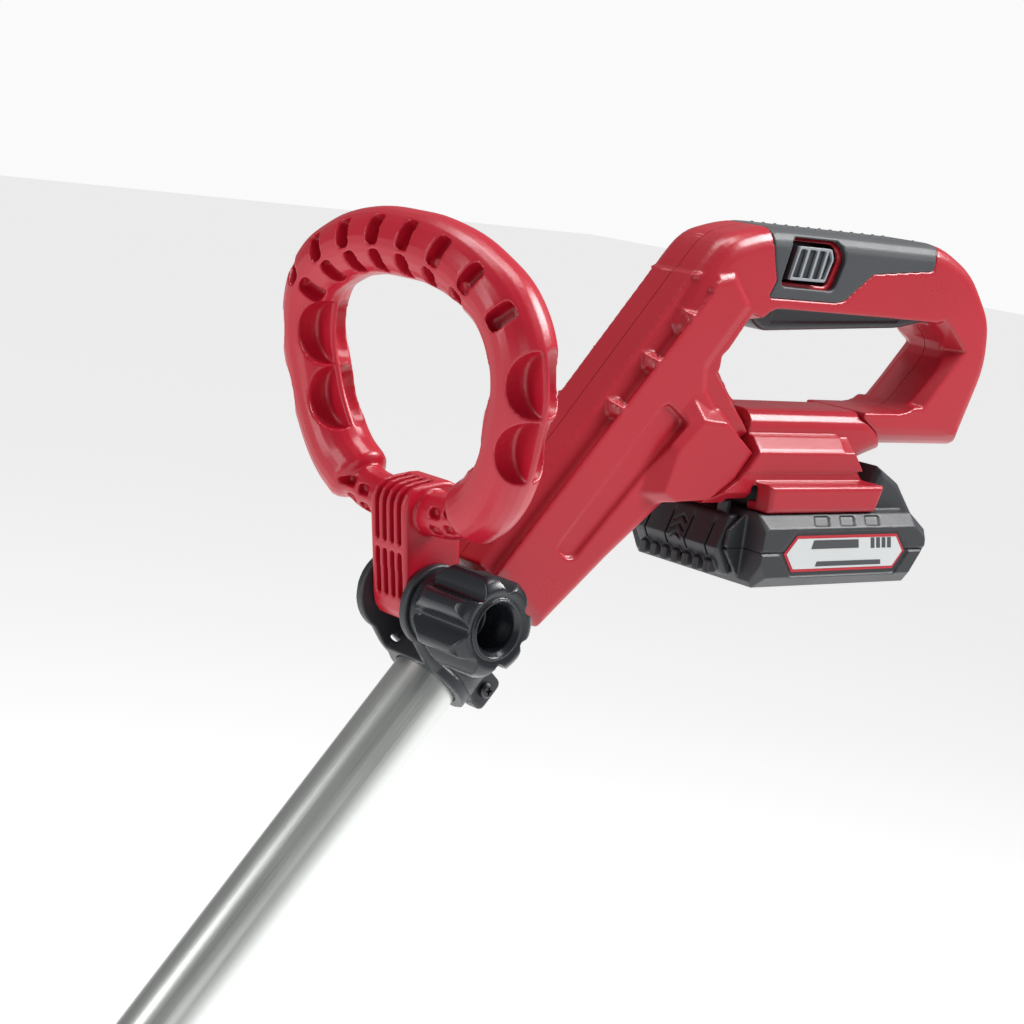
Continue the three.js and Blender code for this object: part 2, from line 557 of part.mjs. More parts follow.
function loopRim() {
  const half = [
    [34, 40], [42, 46], [50, 58], [56, 74], [59, 94], [53, 112], [38, 123], [19, 129], [0, 130.2],
  ];
  const rest = half.slice(0, -1).reverse().map(([across, height]) => [-across, height]);
  const points = [...half, ...rest].map(([across, height]) => [1, across, height]);
  return bentRod(points, LOOP_SECTION, 26, 12);
}

// Where the pockets are: across and up the handle's plane, and how far each leans.
const fingerPockets = [[71.5, 92, 0.05], [65.5, 67, 0.25], [46, 91, 0.05], [41, 69, 0.25]];

// A finger pocket: an egg-shaped hollow with the handle's middle rib left standing in it.
function fingerPocket(across, height, slope) {
  const pocket = ellipsoid([0, 0, 0], [18, 7.5, 11.5], 10, 8);
  const rib = box(-0.2, 2.2, -30, 30, -30, 30);
  const turn = THREE.MathUtils.radToDeg(slope);
  return cutBy(pocket, rib).rotate([-turn, 0, 0]).translate([0, across, height]);
}

function addLoopHandle() {
  const arms = [-1, 1].map((side) => bentRod(
    [[1, 0, 34.5], [1, side * 14, 34.5], [1, side * 28, 37], [1, side * 38, 43]], 8.3, 6, 10,
  ));
  const stem = slab(outline([[-12, 45, 8], [15, 45, 8], [14, -8, 10], [-11, -8, 10]]), 10.2, 1.5);
  const pockets = [];
  for (const side of [-1, 1]) {
    for (const [across, height, slope] of fingerPockets) {
      pockets.push(fingerPocket(side * across, height, side * slope));
    }
  }
  const slots = [];
  for (let i = -3; i <= 3; i += 1) {
    const angle = i * 0.3;
    for (const [radius, tilt] of [[74, 0.5], [61, 0.9]]) {
      const slot = box(-24, -4, -3.4, 3.4, -4, 4);
      slots.push(slot.rotate([0, THREE.MathUtils.radToDeg(tilt), 0]).translate([0, 0, radius])
        .rotate([THREE.MathUtils.radToDeg(angle), 0, 0]).translate([0, 0, 61]));
    }
  }
  const stemSlots = [-6, -2, 2, 6].flatMap((y) => [
    box(-20, -4, y - 1.2, y + 1.2, 24, 38), box(-20, -4, y - 1.2, y + 1.2, 2, 21),
  ]);
  const boltHole = aboutY(rod(BOLT_RADIUS + GAP, -20, 20), 0, 0, 16);
  const handle = cutBy(joined(loopRim(), ...arms, stem), ...pockets, ...slots, ...stemSlots);
  addPiece(upperTool, 'loop_handle', cutBy(lean(handle), boltHole), brightRedPlastic);
}

function addKnob() {
  const outlineOfLobes = new THREE.Shape();
  const steps = KNOB.lobes * 6;
  for (let i = 0; i < steps; i += 1) {
    const angle = (2 * Math.PI * i) / steps;
    const radius = KNOB.radius - 3.4 * Math.pow(0.5 - 0.5 * Math.cos(KNOB.lobes * angle), 2);
    const [x, y] = [radius * Math.cos(angle), radius * Math.sin(angle)];
    if (i === 0) outlineOfLobes.moveTo(x, y);
    else outlineOfLobes.lineTo(x, y);
  }
  const grip = slab(outlineOfLobes, (KNOB.face - KNOB.back) / 2, 2, -(KNOB.face + KNOB.back) / 2);
  const collar = aboutY(rod(14, -KNOB.back - 1, -EAR.outer - GAP), 0, 0, 24);
  const knob = cutBy(
    joined(grip, collar),
    aboutY(rod(KNOB.hole, -KNOB.face - 1, -KNOB.face + 17), 0, 0, 20),
    aboutY(rod(BOLT_RADIUS + GAP, -KNOB.face, 0), 0, 0, 16),
  );
  addPiece(upperTool, 'knob', knob, blackPlastic);
  const bolt = aboutY([
    [0, -KNOB.face + 14], [BOLT_RADIUS, -KNOB.face + 14], [BOLT_RADIUS, EAR.outer + GAP],
    [9, EAR.outer + GAP], [9, EAR.outer + 5], [7, EAR.outer + 6.5], [0, EAR.outer + 6.5],
  ], 0, 0, 16);
  addPiece(upperTool, 'loop_bolt', bolt, steel);
}

// ---------------------------------------------------------------- head: neck and motor housing
const NECK = { halfWidth: 14, throat: 13.6, radius: 23, socketHigh: 74, socketRadius: 17 };
const PIVOT_PIN_RADIUS = 5;
const PIVOT = V(HEAD_PIVOT.x, 0, HEAD_PIVOT.z);
const aboutPivot = (profile, segments) => turned(profile, PIVOT, ALONG_Y, segments);
const alongNeck = (profile, segments) => turned(profile, PIVOT, ALONG_TUBE, segments);

function addNeck() {
  const knuckle = aboutPivot(rod(NECK.radius, -NECK.halfWidth, NECK.halfWidth), 24);
  const socket = alongNeck([
    [0, 6], [NECK.throat, 6], [NECK.throat, 25.5], [NECK.socketRadius, 31],
    [NECK.socketRadius, NECK.socketHigh - 4], [NECK.socketRadius - 2, NECK.socketHigh], [0, NECK.socketHigh],
  ], 24);
  const neck = cutBy(
    joined(knuckle, socket),
    alongNeck(rod(LOWER_TUBE.outer + GAP, 27.5, 90), 24),
    aboutPivot(rod(PIVOT_PIN_RADIUS + GAP, -20, 20), 16),
  );
  addPiece(lineHead, 'tube_neck', neck, blackPlastic);
  addPiece(lineHead, 'tilt_pin', aboutPivot(rod(PIVOT_PIN_RADIUS, -17.5, 26.5), 16), steel);
  addPiece(lineHead, 'tilt_button', aboutPivot([
    [0, -31], [7, -31], [8.5, -29.5], [8.5, -21.5], [0, -21.5],
  ], 20), redPlastic);
}

function motorHousingOuter(inset) {
  const { radius, low, shoulder } = MOTOR_HOUSING;
  return aboutZ([
    [0, low + inset], [radius - inset, low + inset], [radius - inset, 96],
    [radius - 4 - inset, shoulder - inset],
    [radius - 16 - inset, shoulder + 14 - inset], [0, shoulder + 16 - inset],
  ], 32);
}

const headScrews = [
  { name: 'head_screw_low', x: -31, z: 66 },
  { name: 'head_screw_rear', x: 31, z: 66 },
];

function addMotorHousing() {
  const cheek = aboutPivot(rod(NECK.radius + 1, -27, 27), 28);
  const fork = aboutPivot(rod(NECK.radius + 40, -NECK.halfWidth - GAP, NECK.halfWidth + GAP), 20)
    .intersect(box(-60, 90, -20, 20, 114.5, 240));
  const swing = aboutPivot(rod(NECK.radius + GAP, -NECK.halfWidth - GAP, NECK.halfWidth + GAP), 24);
  const bosses = [
    ...headScrews.map(({ x, z }) => aboutY(rod(4.4, -30, 30), x, z, 12)),
    ...guardScrews.map(({ x, y }) => turned(rod(4, 52, 60), V(x, y, 0), ALONG_Z, 12)),
  ];
  const outer = joined(motorHousingOuter(0), cheek);
  const inner = cutBy(motorHousingOuter(MOTOR_HOUSING.wall), aboutPivot(rod(NECK.radius + 4, -40, 40), 24));
  const whole = cutBy(
    joined(cutBy(outer, inner), ...bosses.map((boss) => boss.intersect(motorHousingOuter(0.5)))),
    fork, swing,
    aboutPivot(rod(PIVOT_PIN_RADIUS + GAP, -18, 27.5), 16),
    aboutPivot(rod(9, -40, -17.7), 20),
    aboutZ(rod(15, 40, 60), 24),
    aboutY(rod(EDGE_WIRE.radius + 0.5, -60, 60), 0, EDGE_WIRE.pivotZ, 10),
    ...headScrews.map(({ x, z }) => aboutY(screwRoom, x, z, 12)),
    ...guardScrews.map(({ x, y }) => turned(rod(1.6 + GAP, 40, 58 + GAP), V(x, y, 0), ALONG_Z, 12)),
  );
  addPiece(lineHead, 'motor_housing_left', whole.intersect(leftSide), redPlastic);
  addPiece(lineHead, 'motor_housing_right', whole.intersect(rightSide), redPlastic);
  for (const { name, x, z } of headScrews) {
    addPiece(lineHead, name, aboutY(screwProfile, x, z, 12), steel);
  }
}

function addMotor() {
  const motor = aboutZ([
    [3.4, 57.4], [8, 57.4], [8, 60.4], [18.5, 60.4], [18.5, 108], [6, 108], [6, 110.5], [0, 110.5],
    [0, 80], [3.4, 80], [3.4, 57.4],
  ], 24);
  addPiece(lineHead, 'motor', motor, steel);
  const spindle = aboutZ([[0, 20], [4, 20], [4, 46], [3, 46], [3, 79], [0, 79]], 12);
  addPiece(lineHead, 'spindle', spindle, steel);
}

// ---------------------------------------------------------------- head: spool, guard and wire
function addSpool() {
  const { radius, cupTop, capTop, capLow, flange } = SPOOL;
  const cup = aboutZ([
    [4.3, cupTop], [4.3, 33], [10, 33], [10, cupTop - 3], [radius - 5, cupTop - 3],
    [radius - 2.6, cupTop - 8],
    [radius - 2.6, capTop + GAP], [radius, capTop + GAP], [radius, cupTop - 8], [radius - 4, cupTop],
    [4.3, cupTop],
  ], 36);
  const eyelets = [-1, 1].map((side) =>
    turned(rod(3 + GAP, 30, 60), V(0, 0, 26), V(0, side, 0), 12));
  addPiece(lineHead, 'spool_housing', cutBy(cup, ...eyelets), blackPlastic);
  [-1, 1].forEach((side, i) => {
    const eyelet = turned([
      [1.5, 40.8], [3, 40.8], [3, 45.4], [4, 45.4], [4, 46.6], [1.5, 46.6], [1.5, 40.8],
    ], V(0, 0, 26), V(0, side, 0), 12);
    addPiece(lineHead, `line_eyelet_${i + 1}`, eyelet, steel);
  });
  const cap = aboutZ([
    [18.5, capLow], [radius - 6, capLow], [radius, capLow + 5], [radius, capTop], [radius - 5, capTop],
    [radius - 5, capLow + 3.5], [18.5, capLow + 3.5], [18.5, capLow],
  ], 36);
  addPiece(lineHead, 'spool_cap', cap, blackPlastic);
  const spool = aboutZ([
    [11, 13.5], [flange, 13.5], [flange, 15.5], [18, 15.5], [18, 36], [flange, 36], [flange, 38], [11, 38],
    [11, 13.5],
  ], 28);
  addPiece(lineHead, 'spool', spool, redPlastic);
  addPiece(lineHead, 'wound_line', aboutZ(ring(18.3, 33, 15.9, 35.6), 28), orangeLine);
  const bump = aboutZ([
    [0, 0], [13, 0], [16.5, 2.5], [17.8, 8], [17.8, 10.5], [10.4, 10.5], [10.4, 17.2], [0, 17.2],
  ], 28);
  addPiece(lineHead, 'bump_button', bump, redPlastic);
  addPiece(lineHead, 'bump_spring', spring(V(0, 0, 20.4), ALONG_Z, 11, 6.4, 0.7, 4), steel);
}

const GUARD_HALF_ANGLE = THREE.MathUtils.degToRad(98);

// The guard's sector, seen from above, between two radii.
function guardSector(inner, outer) {
  const shape = new THREE.Shape();
  shape.absarc(0, 0, outer, -GUARD_HALF_ANGLE, GUARD_HALF_ANGLE, false);
  shape.absarc(0, 0, inner, GUARD_HALF_ANGLE, -GUARD_HALF_ANGLE, true);
  shape.closePath();
  return shape;
}

const guardScrews = [
  { name: 'guard_screw_1', x: 26, y: -20 },
  { name: 'guard_screw_2', x: 26, y: 20 },
];

function addGuard() {
  const { radius, plateLow, plateHigh, skirtLow, wall } = GUARD;
  const top = plate(guardSector(20, radius), plateLow, plateHigh, 20);
  const hub = aboutZ(ring(16, 42, plateLow, plateHigh), 32);
  const skirt = plate(guardSector(radius - wall, radius), skirtLow, plateHigh, 20);
  const stiffeners = [-60, -20, 20, 60].map((degrees) => {
    const web = box(50, radius - 1, -1.2, 1.2, plateLow - 8, plateLow + 1);
    return web.rotate([0, 0, degrees]);
  });
  const screwHoles = guardScrews.map(({ x, y }) => turned(rod(2, 40, 60), V(x, y, 0), ALONG_Z, 12));
  const guard = cutBy(joined(top, hub, skirt, ...stiffeners), ...screwHoles);
  addPiece(lineHead, 'guard', guard, blackPlastic);
  for (const { name, x, y } of guardScrews) {
    const screw = [[0, 45.8], [3.4, 45.8], [3.4, plateLow - GAP], [1.6, plateLow - GAP], [1.6, 58], [0, 58]];
    addPiece(lineHead, name, turned(screw, V(x, y, 0), ALONG_Z, 12), steel);
  }
  addLineCutter();
}

// The line cutter sits inside the skirt near the guard's left end.
const BLADE_ANGLE = THREE.MathUtils.degToRad(-88);

function addLineCutter() {
  const inside = GUARD.radius - GUARD.wall;
  const blade = cutBy(
    box(inside - 3.2, inside - 1.2, -9, 11, 17, 31),
    turned(rod(1.9, 120, 150), V(0, 0, 24), V(1, 0, 0), 10),
  );
  const turn = THREE.MathUtils.radToDeg(BLADE_ANGLE);
  addPiece(lineHead, 'line_cutter', blade.rotate([0, 0, turn]), steel);
}

function addEdgeWire() {
  const { radius, reach, pivotZ } = EDGE_WIRE;
  const side = [
    [0, 38.5, pivotZ], [0, 46, pivotZ], [0, 50, pivotZ], [-5, 54, pivotZ], [-22, 66, pivotZ - 2],
    [-48, 88, pivotZ - 14], [-70, 106, pivotZ - 34],
  ];
  const arc = [];
  for (let i = 0; i <= 8; i += 1) {
    const angle = THREE.MathUtils.degToRad(118 + (124 * i) / 8);
    arc.push([reach * Math.cos(angle), reach * Math.sin(angle) * 0.9, 26]);
  }
  const mirrored = side.map(([x, y, z]) => [x, -y, z]).reverse();
  addPiece(lineHead, 'edge_wire', bentRod([...side, ...arc, ...mirrored], radius, 42, 6), steel);
}

// ---------------------------------------------------------------- assembly
addHousing();
addBatteryBase();
addBattery();
addControls();
addTubes();
addBracket();
addTwistLock();
addLoopHandle();
addKnob();
addNeck();
addMotorHousing();
addMotor();
addSpool();
addGuard();
addEdgeWire();

export default trimmer;
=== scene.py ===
import json
import math

import bmesh
import bpy
from mathutils import Matrix, Vector


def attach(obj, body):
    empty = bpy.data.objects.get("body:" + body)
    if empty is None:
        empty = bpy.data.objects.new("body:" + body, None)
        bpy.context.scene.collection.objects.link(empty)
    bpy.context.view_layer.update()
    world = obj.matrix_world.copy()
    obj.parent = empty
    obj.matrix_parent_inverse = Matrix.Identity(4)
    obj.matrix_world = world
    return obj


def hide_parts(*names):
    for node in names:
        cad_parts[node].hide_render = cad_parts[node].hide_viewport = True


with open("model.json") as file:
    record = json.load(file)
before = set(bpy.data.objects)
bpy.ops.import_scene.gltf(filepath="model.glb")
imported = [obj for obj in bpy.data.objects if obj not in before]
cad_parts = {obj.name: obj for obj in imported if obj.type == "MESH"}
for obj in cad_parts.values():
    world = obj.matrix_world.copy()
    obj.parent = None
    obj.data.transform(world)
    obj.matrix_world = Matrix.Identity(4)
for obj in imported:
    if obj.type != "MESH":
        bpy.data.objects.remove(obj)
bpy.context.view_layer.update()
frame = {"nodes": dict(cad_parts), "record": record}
print("frame loaded")

# ---- places: the upper tool is drawn in millimetres round the knob's axis, the head round the origin
millimetre = 0.001
joints = {joint["name"]: joint for joint in frame["record"]["behaviour"]["joints"]}
knobAxis = Vector(joints["loop_tilt"]["pos_m"])
tubeWay = Vector(joints["tube_slide"]["axis"]).normalized()
aboveWay = Vector((-tubeWay.z, 0, tubeWay.x))
knobAboveTube = 29
tubeFoot = -knobAboveTube * aboveWay  # the tube's axis below the knob, in the tool's millimetres
toolPlace = Matrix.Translation(knobAxis) @ Matrix.Scale(millimetre, 4)
headPlace = Matrix.Scale(millimetre, 4)
alongTubeTurn = Matrix((
    (-aboveWay.x, 0, tubeWay.x, 0),
    (0, 1, 0, 0),
    (-aboveWay.z, 0, tubeWay.z, 0),
    (0, 0, 0, 1),
))
tubePlace = toolPlace @ Matrix.Translation(tubeFoot) @ alongTubeTurn
leftWards = Matrix.Rotation(math.radians(90), 4, "X")  # turns +Z to -Y
rightWards = Matrix.Rotation(math.radians(-90), 4, "X")  # turns +Z to +Y


def alongTube(along, above, rounding=None):
    point = tubeWay * along + aboveWay * above
    return (point.x, point.z) if rounding is None else (point.x, point.z, rounding)


# ---- shapes
def rounded(points, steps=4):
    # a point is (a, b) or (a, b, rounding), and the rounding is measured back from the corner
    outline = []
    for index, point in enumerate(points):
        here = Vector(point[:2])
        if len(point) < 3:
            outline.append(here)
            continue
        before = (Vector(points[index - 1][:2]) - here).normalized() * point[2]
        after = (Vector(points[(index + 1) % len(points)][:2]) - here).normalized() * point[2]
        for step in range(steps + 1):
            share = step / steps
            outline.append(here + before * (1 - share) ** 2 + after * share ** 2)
    return outline


def moved(bm, *matrices):
    for matrix in matrices:
        bmesh.ops.transform(bm, matrix=matrix, verts=bm.verts)
    return bm


def bevelled(bm, edges, size, segments=3):
    bmesh.ops.bevel(bm, geom=edges, offset=size, offset_type="OFFSET", segments=segments, profile=0.5,
                    affect="EDGES", material=-1, clamp_overlap=False)
    return bm


def slab(points, halfWidth, rounding=0, centre=0, segments=3):
    # an outline in the XZ plane, given its width along Y
    bm = bmesh.new()
    face = bm.faces.new([bm.verts.new((p[0], centre - halfWidth, p[1])) for p in rounded(points)])
    grown = bmesh.ops.extrude_face_region(bm, geom=[face])["geom"]
    lifted = [part for part in grown if isinstance(part, bmesh.types.BMVert)]
    bmesh.ops.translate(bm, verts=lifted, vec=(0, 2 * halfWidth, 0))
    bmesh.ops.recalc_face_normals(bm, faces=bm.faces)
    if rounding:
        rims = [e for e in bm.edges if abs(e.verts[0].co.y - e.verts[1].co.y) < 1e-6]
        bevelled(bm, rims, rounding, segments)
    return bm


def loft(nearPoints, nearY, farPoints, farY):
    # two outlines of as many corners, joined across Y
    bm = bmesh.new()
    rings = []
    for points, y in ((nearPoints, nearY), (farPoints, farY)):
        corners = [bm.verts.new((x, y, z)) for x, z in points]
        face = bm.faces.new(corners)
        rings += list(face.edges)
    bmesh.ops.bridge_loops(bm, edges=rings)
    bmesh.ops.recalc_face_normals(bm, faces=bm.faces)
    return bm


def block(low, high, rounding=0, segments=2):
    bm = bmesh.new()
    bmesh.ops.create_cube(bm, size=1)
    size = [b - a for a, b in zip(low, high)]
    middle = [(a + b) / 2 for a, b in zip(low, high)]
    moved(bm, Matrix.Diagonal((*size, 1)), Matrix.Translation(middle))
    if rounding:
        bevelled(bm, list(bm.edges), rounding, segments)
    return bm


def ball(centre, radii, steps=24):
    bm = bmesh.new()
    bmesh.ops.create_uvsphere(bm, u_segments=steps, v_segments=steps // 2, radius=1)
    return moved(bm, Matrix.Diagonal((*radii, 1)), Matrix.Translation(centre))


def turned(profile, steps=64, closed=False):
    # a profile of (radius, height), spun about Z
    bm = bmesh.new()
    points = rounded(profile)
    corners = [bm.verts.new((point[0], 0, point[1])) for point in points]
    pairs = list(zip(corners, corners[1:])) + ([(corners[-1], corners[0])] if closed else [])
    edges = [bm.edges.new(pair) for pair in pairs]
    bmesh.ops.spin(bm, geom=corners + edges, cent=(0, 0, 0), axis=(0, 0, 1), angle=2 * math.pi,
                   steps=steps, use_merge=True)
    bmesh.ops.remove_doubles(bm, verts=bm.verts, dist=1e-4)
    bmesh.ops.recalc_face_normals(bm, faces=bm.faces)
    return bm


def rod(radius, low, high, steps=32):
    return turned([(0, low), (radius, low), (radius, high), (0, high)], steps)


def pinLeft(radius, low, high, x=0, z=0):
    # a rod across the tool, measured towards its left side
    return moved(rod(radius, low, high), leftWards, Matrix.Translation((x, 0, z)))


def pinRight(radius, low, high, x=0, z=0):
    return moved(rod(radius, low, high), rightWards, Matrix.Translation((x, 0, z)))


def spokes(count, low, high, rounding=0):
    # as many blocks round Z, evenly spaced
    return [moved(block(low, high, rounding), Matrix.Rotation(2 * math.pi * index / count, 4, "Z"))
            for index in range(count)]


def sleeve(inner, outer, low, high, steps=96):
    return turned([(inner, low), (outer, low), (outer, high), (inner, high)], steps, closed=True)


def pipe(points, radius, sides=6, fineness=8):
    # a round rod along a smooth line through the points
    line = bpy.data.curves.new("line", "CURVE")
    line.dimensions = "3D"
    line.bevel_depth = 1
    line.bevel_resolution = sides
    line.resolution_u = fineness
    line.use_fill_caps = True
    run = line.splines.new("BEZIER")
    run.bezier_points.add(len(points) - 1)
    for knot, point in zip(run.bezier_points, points):
        knot.co = point
        knot.radius = radius
        knot.handle_left_type = knot.handle_right_type = "AUTO"
    holder = bpy.data.objects.new("line", line)
    bpy.context.collection.objects.link(holder)
    bpy.context.view_layer.update()
    shape = bpy.data.meshes.new_from_object(holder.evaluated_get(bpy.context.evaluated_depsgraph_get()))
    bm = bmesh.new()
    bm.from_mesh(shape)
    bmesh.ops.remove_doubles(bm, verts=bm.verts, dist=1e-4)
    bmesh.ops.recalc_face_normals(bm, faces=bm.faces)
    bpy.data.objects.remove(holder)
    bpy.data.curves.remove(line)
    bpy.data.meshes.remove(shape)
    return bm


def gather(*parts):
    whole = bmesh.new()
    for part in parts:
        sheet = bpy.data.meshes.new("part")
        part.to_mesh(sheet)
        part.free()
        whole.from_mesh(sheet)
        bpy.data.meshes.remove(sheet)
    return whole


def makeObject(name, bm):
    mesh = bpy.data.meshes.new(name)
    bm.to_mesh(mesh)
    bm.free()
    piece = bpy.data.objects.new(name, mesh)
    bpy.context.collection.objects.link(piece)
    return piece


def settle(piece):
    # turns the modifiers into mesh
    bpy.context.view_layer.update()
    graph = bpy.context.evaluated_depsgraph_get()
    finished = bpy.data.meshes.new_from_object(piece.evaluated_get(graph))
    old = piece.data
    piece.modifiers.clear()
    piece.data = finished
    bpy.data.meshes.remove(old)
    return piece


def carve(name, solids, cutters=(), voxel=0, passes=0, operation="DIFFERENCE", thin=1):
    # joins the solids, cuts or keeps what the cutters hold, and softens the edges as a mould does
    piece = makeObject(name, solids[0])
    tools = []
    for kind, shapes in (("UNION", solids[1:]), (operation, cutters)):
        for shape in shapes:
            tools.append(makeObject(name + "Tool", shape))
            cut = piece.modifiers.new("cut", "BOOLEAN")
            cut.operation = kind
            cut.solver = "MANIFOLD"
            cut.object = tools[-1]
    if voxel:
        grain = piece.modifiers.new("grain", "REMESH")
        grain.mode = "VOXEL"
        grain.voxel_size = voxel * 1
        grain.use_smooth_shade = True
    if passes:
        soften = piece.modifiers.new("soften", "SMOOTH")
        soften.factor = 0.5
        soften.iterations = passes
    if thin < 1:
        spare = piece.modifiers.new("spare", "DECIMATE")
        spare.ratio = thin
    settle(piece)
    for tool in tools:
        bpy.data.objects.remove(tool)
    return piece


def combine(solids, cutters, operation="DIFFERENCE"):
    # the same cut, handed back as a bmesh for further work
    piece = carve("part", solids, cutters, operation=operation)
    bm = bmesh.new()
    bm.from_mesh(piece.data)
    bpy.data.objects.remove(piece)
    return bm


def shadeSmooth(piece, angle=35):
    piece.data.shade_smooth()
    bm = bmesh.new()
    bm.from_mesh(piece.data)
    for edge in bm.edges:
        slivers = any(face.calc_area() < 3e-9 for face in edge.link_faces)
        edge.smooth = len(edge.link_faces) == 2 and (slivers or edge.calc_face_angle(0) < math.radians(angle))
    bm.to_mesh(piece.data)
    bm.free()


def fit(piece, place, finish, body, *nodes, angle=35):
    piece.data.transform(place)
    piece.data.materials.clear()
    piece.data.materials.append(paints[finish])
    shadeSmooth(piece, angle)
    even = piece.modifiers.new("even", "WEIGHTED_NORMAL")
    even.keep_sharp = True
    even.weight = 90
    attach(piece, body)
    if nodes:
        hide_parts(*nodes)
    return piece


def halves(piece, names, gap=0.3):
    # splits a shell at Y = 0, as its two mouldings are
    made = []
    for side, name in zip((-1, 1), names):
        bm = bmesh.new()
        bm.from_mesh(piece.data)
        cut = bmesh.ops.bisect_plane(bm, geom=bm.verts[:] + bm.edges[:] + bm.faces[:], dist=1e-5,
                                     plane_co=(0, side * gap / 2, 0), plane_no=(0, -side, 0),
                                     clear_outer=True)
        seam = [part for part in cut["geom_cut"] if isinstance(part, bmesh.types.BMEdge)]
        bmesh.ops.triangle_fill(bm, edges=seam, use_beauty=True)
        bmesh.ops.recalc_face_normals(bm, faces=bm.faces)
        made.append(makeObject(name, bm))
    bpy.data.objects.remove(piece)
    return made


# ---- finishes
class Wire:
    # a node's output that Python's own maths can be done on
    def __init__(self, tree, socket):
        self.tree = tree
        self.socket = socket

    def node(self, kind, settings, inputs, output=0):
        made = self.tree.nodes.new("ShaderNode" + kind)
        for name, value in settings.items():
            setattr(made, name, value)
        for name, value in inputs.items():
            if isinstance(value, Wire):
                self.tree.links.new(value.socket, made.inputs[name])
            else:
                made.inputs[name].default_value = value
        return Wire(self.tree, made.outputs[output])

    def sum(self, operation, first, second):
        return self.node("Math", {"operation": operation}, {0: first, 1: second})

    def __add__(self, other):
        return self.sum("ADD", self, other)

    def __sub__(self, other):
        return self.sum("SUBTRACT", self, other)

    def __mul__(self, other):
        return self.sum("MULTIPLY", self, other)

    __radd__ = __add__
    __rmul__ = __mul__


def startMaterial(name):
    paint = bpy.data.materials.new(name)
    paint.use_nodes = True
    tree = paint.node_tree
    place = Wire(tree, tree.nodes.new("ShaderNodeTexCoord").outputs["Object"])
    return paint, tree.nodes["Principled BSDF"], place


def link(shader, values):
    for name, value in values.items():
        if isinstance(value, Wire):
            value.tree.links.new(value.socket, shader.inputs[name])
        else:
            shader.inputs[name].default_value = value


def noise(place, scale, detail=2.0, roughness=0.5):
    return place.node("TexNoise", {}, {"Vector": place, "Scale": scale, "Detail": detail,
                                       "Roughness": roughness})


def blendColours(place, factor, first, second):
    return place.node("Mix", {"data_type": "RGBA"}, {0: factor, 6: (*first, 1), 7: (*second, 1)}, 2)


def relief(place, height, strength, depth):
    return place.node("Bump", {}, {"Height": height, "Strength": strength, "Distance": depth})


def scaled(colour, factor):
    return tuple(min(1.0, channel * factor) for channel in colour)


def moulded(name, colour, roughness, grain=900, depth=0.00006, sheen=0.0, drift=0.12, specular=0.5):
    # spark-eroded plastic: a fine grain, faint flow marks and rubbed patches
    paint, shader, place = startMaterial(name)
    flow = noise(place, 14, 3)
    fine = noise(place, grain, 2)
    rubbed = noise(place, 60, 4, 0.6)
    link(shader, {
        "Base Color": blendColours(place, flow, scaled(colour, 1 - drift), scaled(colour, 1 + drift)),
        "Roughness": (flow - 0.5) * 0.10 + (rubbed - 0.5) * 0.12 + (fine - 0.5) * 0.08 + roughness,
        "Normal": relief(place, fine + rubbed * 0.35, 0.55, depth),
        "Specular IOR Level": specular,
        "Sheen Weight": sheen,
        "Sheen Roughness": 0.4,
    })
    return paint


def drawnMetal(name, colour, roughness, along=None, depth=0.00002):
    # metal with fine marks drawn out along one direction, and cloudy anodising
    paint, shader, place = startMaterial(name)
    if along is None:
        marks = noise(place, 700, 3)
    else:
        angle = math.atan2(along.x, along.z)
        stretched = place.node("Mapping", {}, {"Vector": place, "Rotation": (0, -angle, 0)})
        stretched = stretched.node("Mapping", {}, {"Vector": stretched, "Scale": (1, 1, 0.012)})
        marks = noise(stretched, 1500, 3)
    clouds = noise(place, 30, 3)
    link(shader, {
        "Base Color": blendColours(place, clouds, scaled(colour, 0.93), scaled(colour, 1.05)),
        "Roughness": (marks - 0.5) * 0.22 + (clouds - 0.5) * 0.08 + roughness,
        "Metallic": 1.0,
        "Normal": relief(place, marks, 0.5, depth),
    })
    return paint


paints = {
    "housingRed": moulded("housingRed", (0.37, 0.012, 0.024), 0.31),
    "loopRed": moulded("loopRed", (0.42, 0.006, 0.022), 0.31, grain=700),
    "headRed": moulded("headRed", (0.34, 0.012, 0.024), 0.36),
    "gripRubber": moulded("gripRubber", (0.028, 0.032, 0.037), 0.50, grain=1300, depth=0.00009, sheen=0.15),
    "mouldedBlack": moulded("mouldedBlack", (0.020, 0.022, 0.027), 0.42),
    "knobBlack": moulded("knobBlack", (0.013, 0.015, 0.020), 0.26, grain=1500, depth=0.00002),
    "triggerBlack": moulded("triggerBlack", (0.030, 0.033, 0.038), 0.34, grain=1200),
    "batteryBlack": moulded("batteryBlack", (0.022, 0.024, 0.028), 0.45, grain=650, depth=0.00012),
    "buttonGrey": moulded("buttonGrey", (0.24, 0.26, 0.28), 0.45),
    "guardBlack": moulded("guardBlack", (0.018, 0.019, 0.022), 0.46, grain=600, depth=0.0001),
    "tubeAluminium": drawnMetal("tubeAluminium", (0.66, 0.68, 0.66), 0.34, along=tubeWay),
    "brightSteel": drawnMetal("brightSteel", (0.60, 0.61, 0.63), 0.30),
    "blackSteel": drawnMetal("blackSteel", (0.07, 0.07, 0.075), 0.38),
    "springSteel": drawnMetal("springSteel", (0.50, 0.51, 0.53), 0.33),
    "cellWrap": moulded("cellWrap", (0.03, 0.14, 0.32), 0.32),
    "leadBlack": moulded("leadBlack", (0.012, 0.012, 0.013), 0.55),
    "cuttingLine": moulded("cuttingLine", (0.72, 0.22, 0.03), 0.40, grain=400),
    "labelSilver": moulded("labelSilver", (0.52, 0.54, 0.54), 0.36, grain=2200, depth=0.00001),
    "labelRed": moulded("labelRed", (0.42, 0.010, 0.024), 0.34),
    "labelDark": moulded("labelDark", (0.045, 0.048, 0.055), 0.40),
}
print("finishes made")

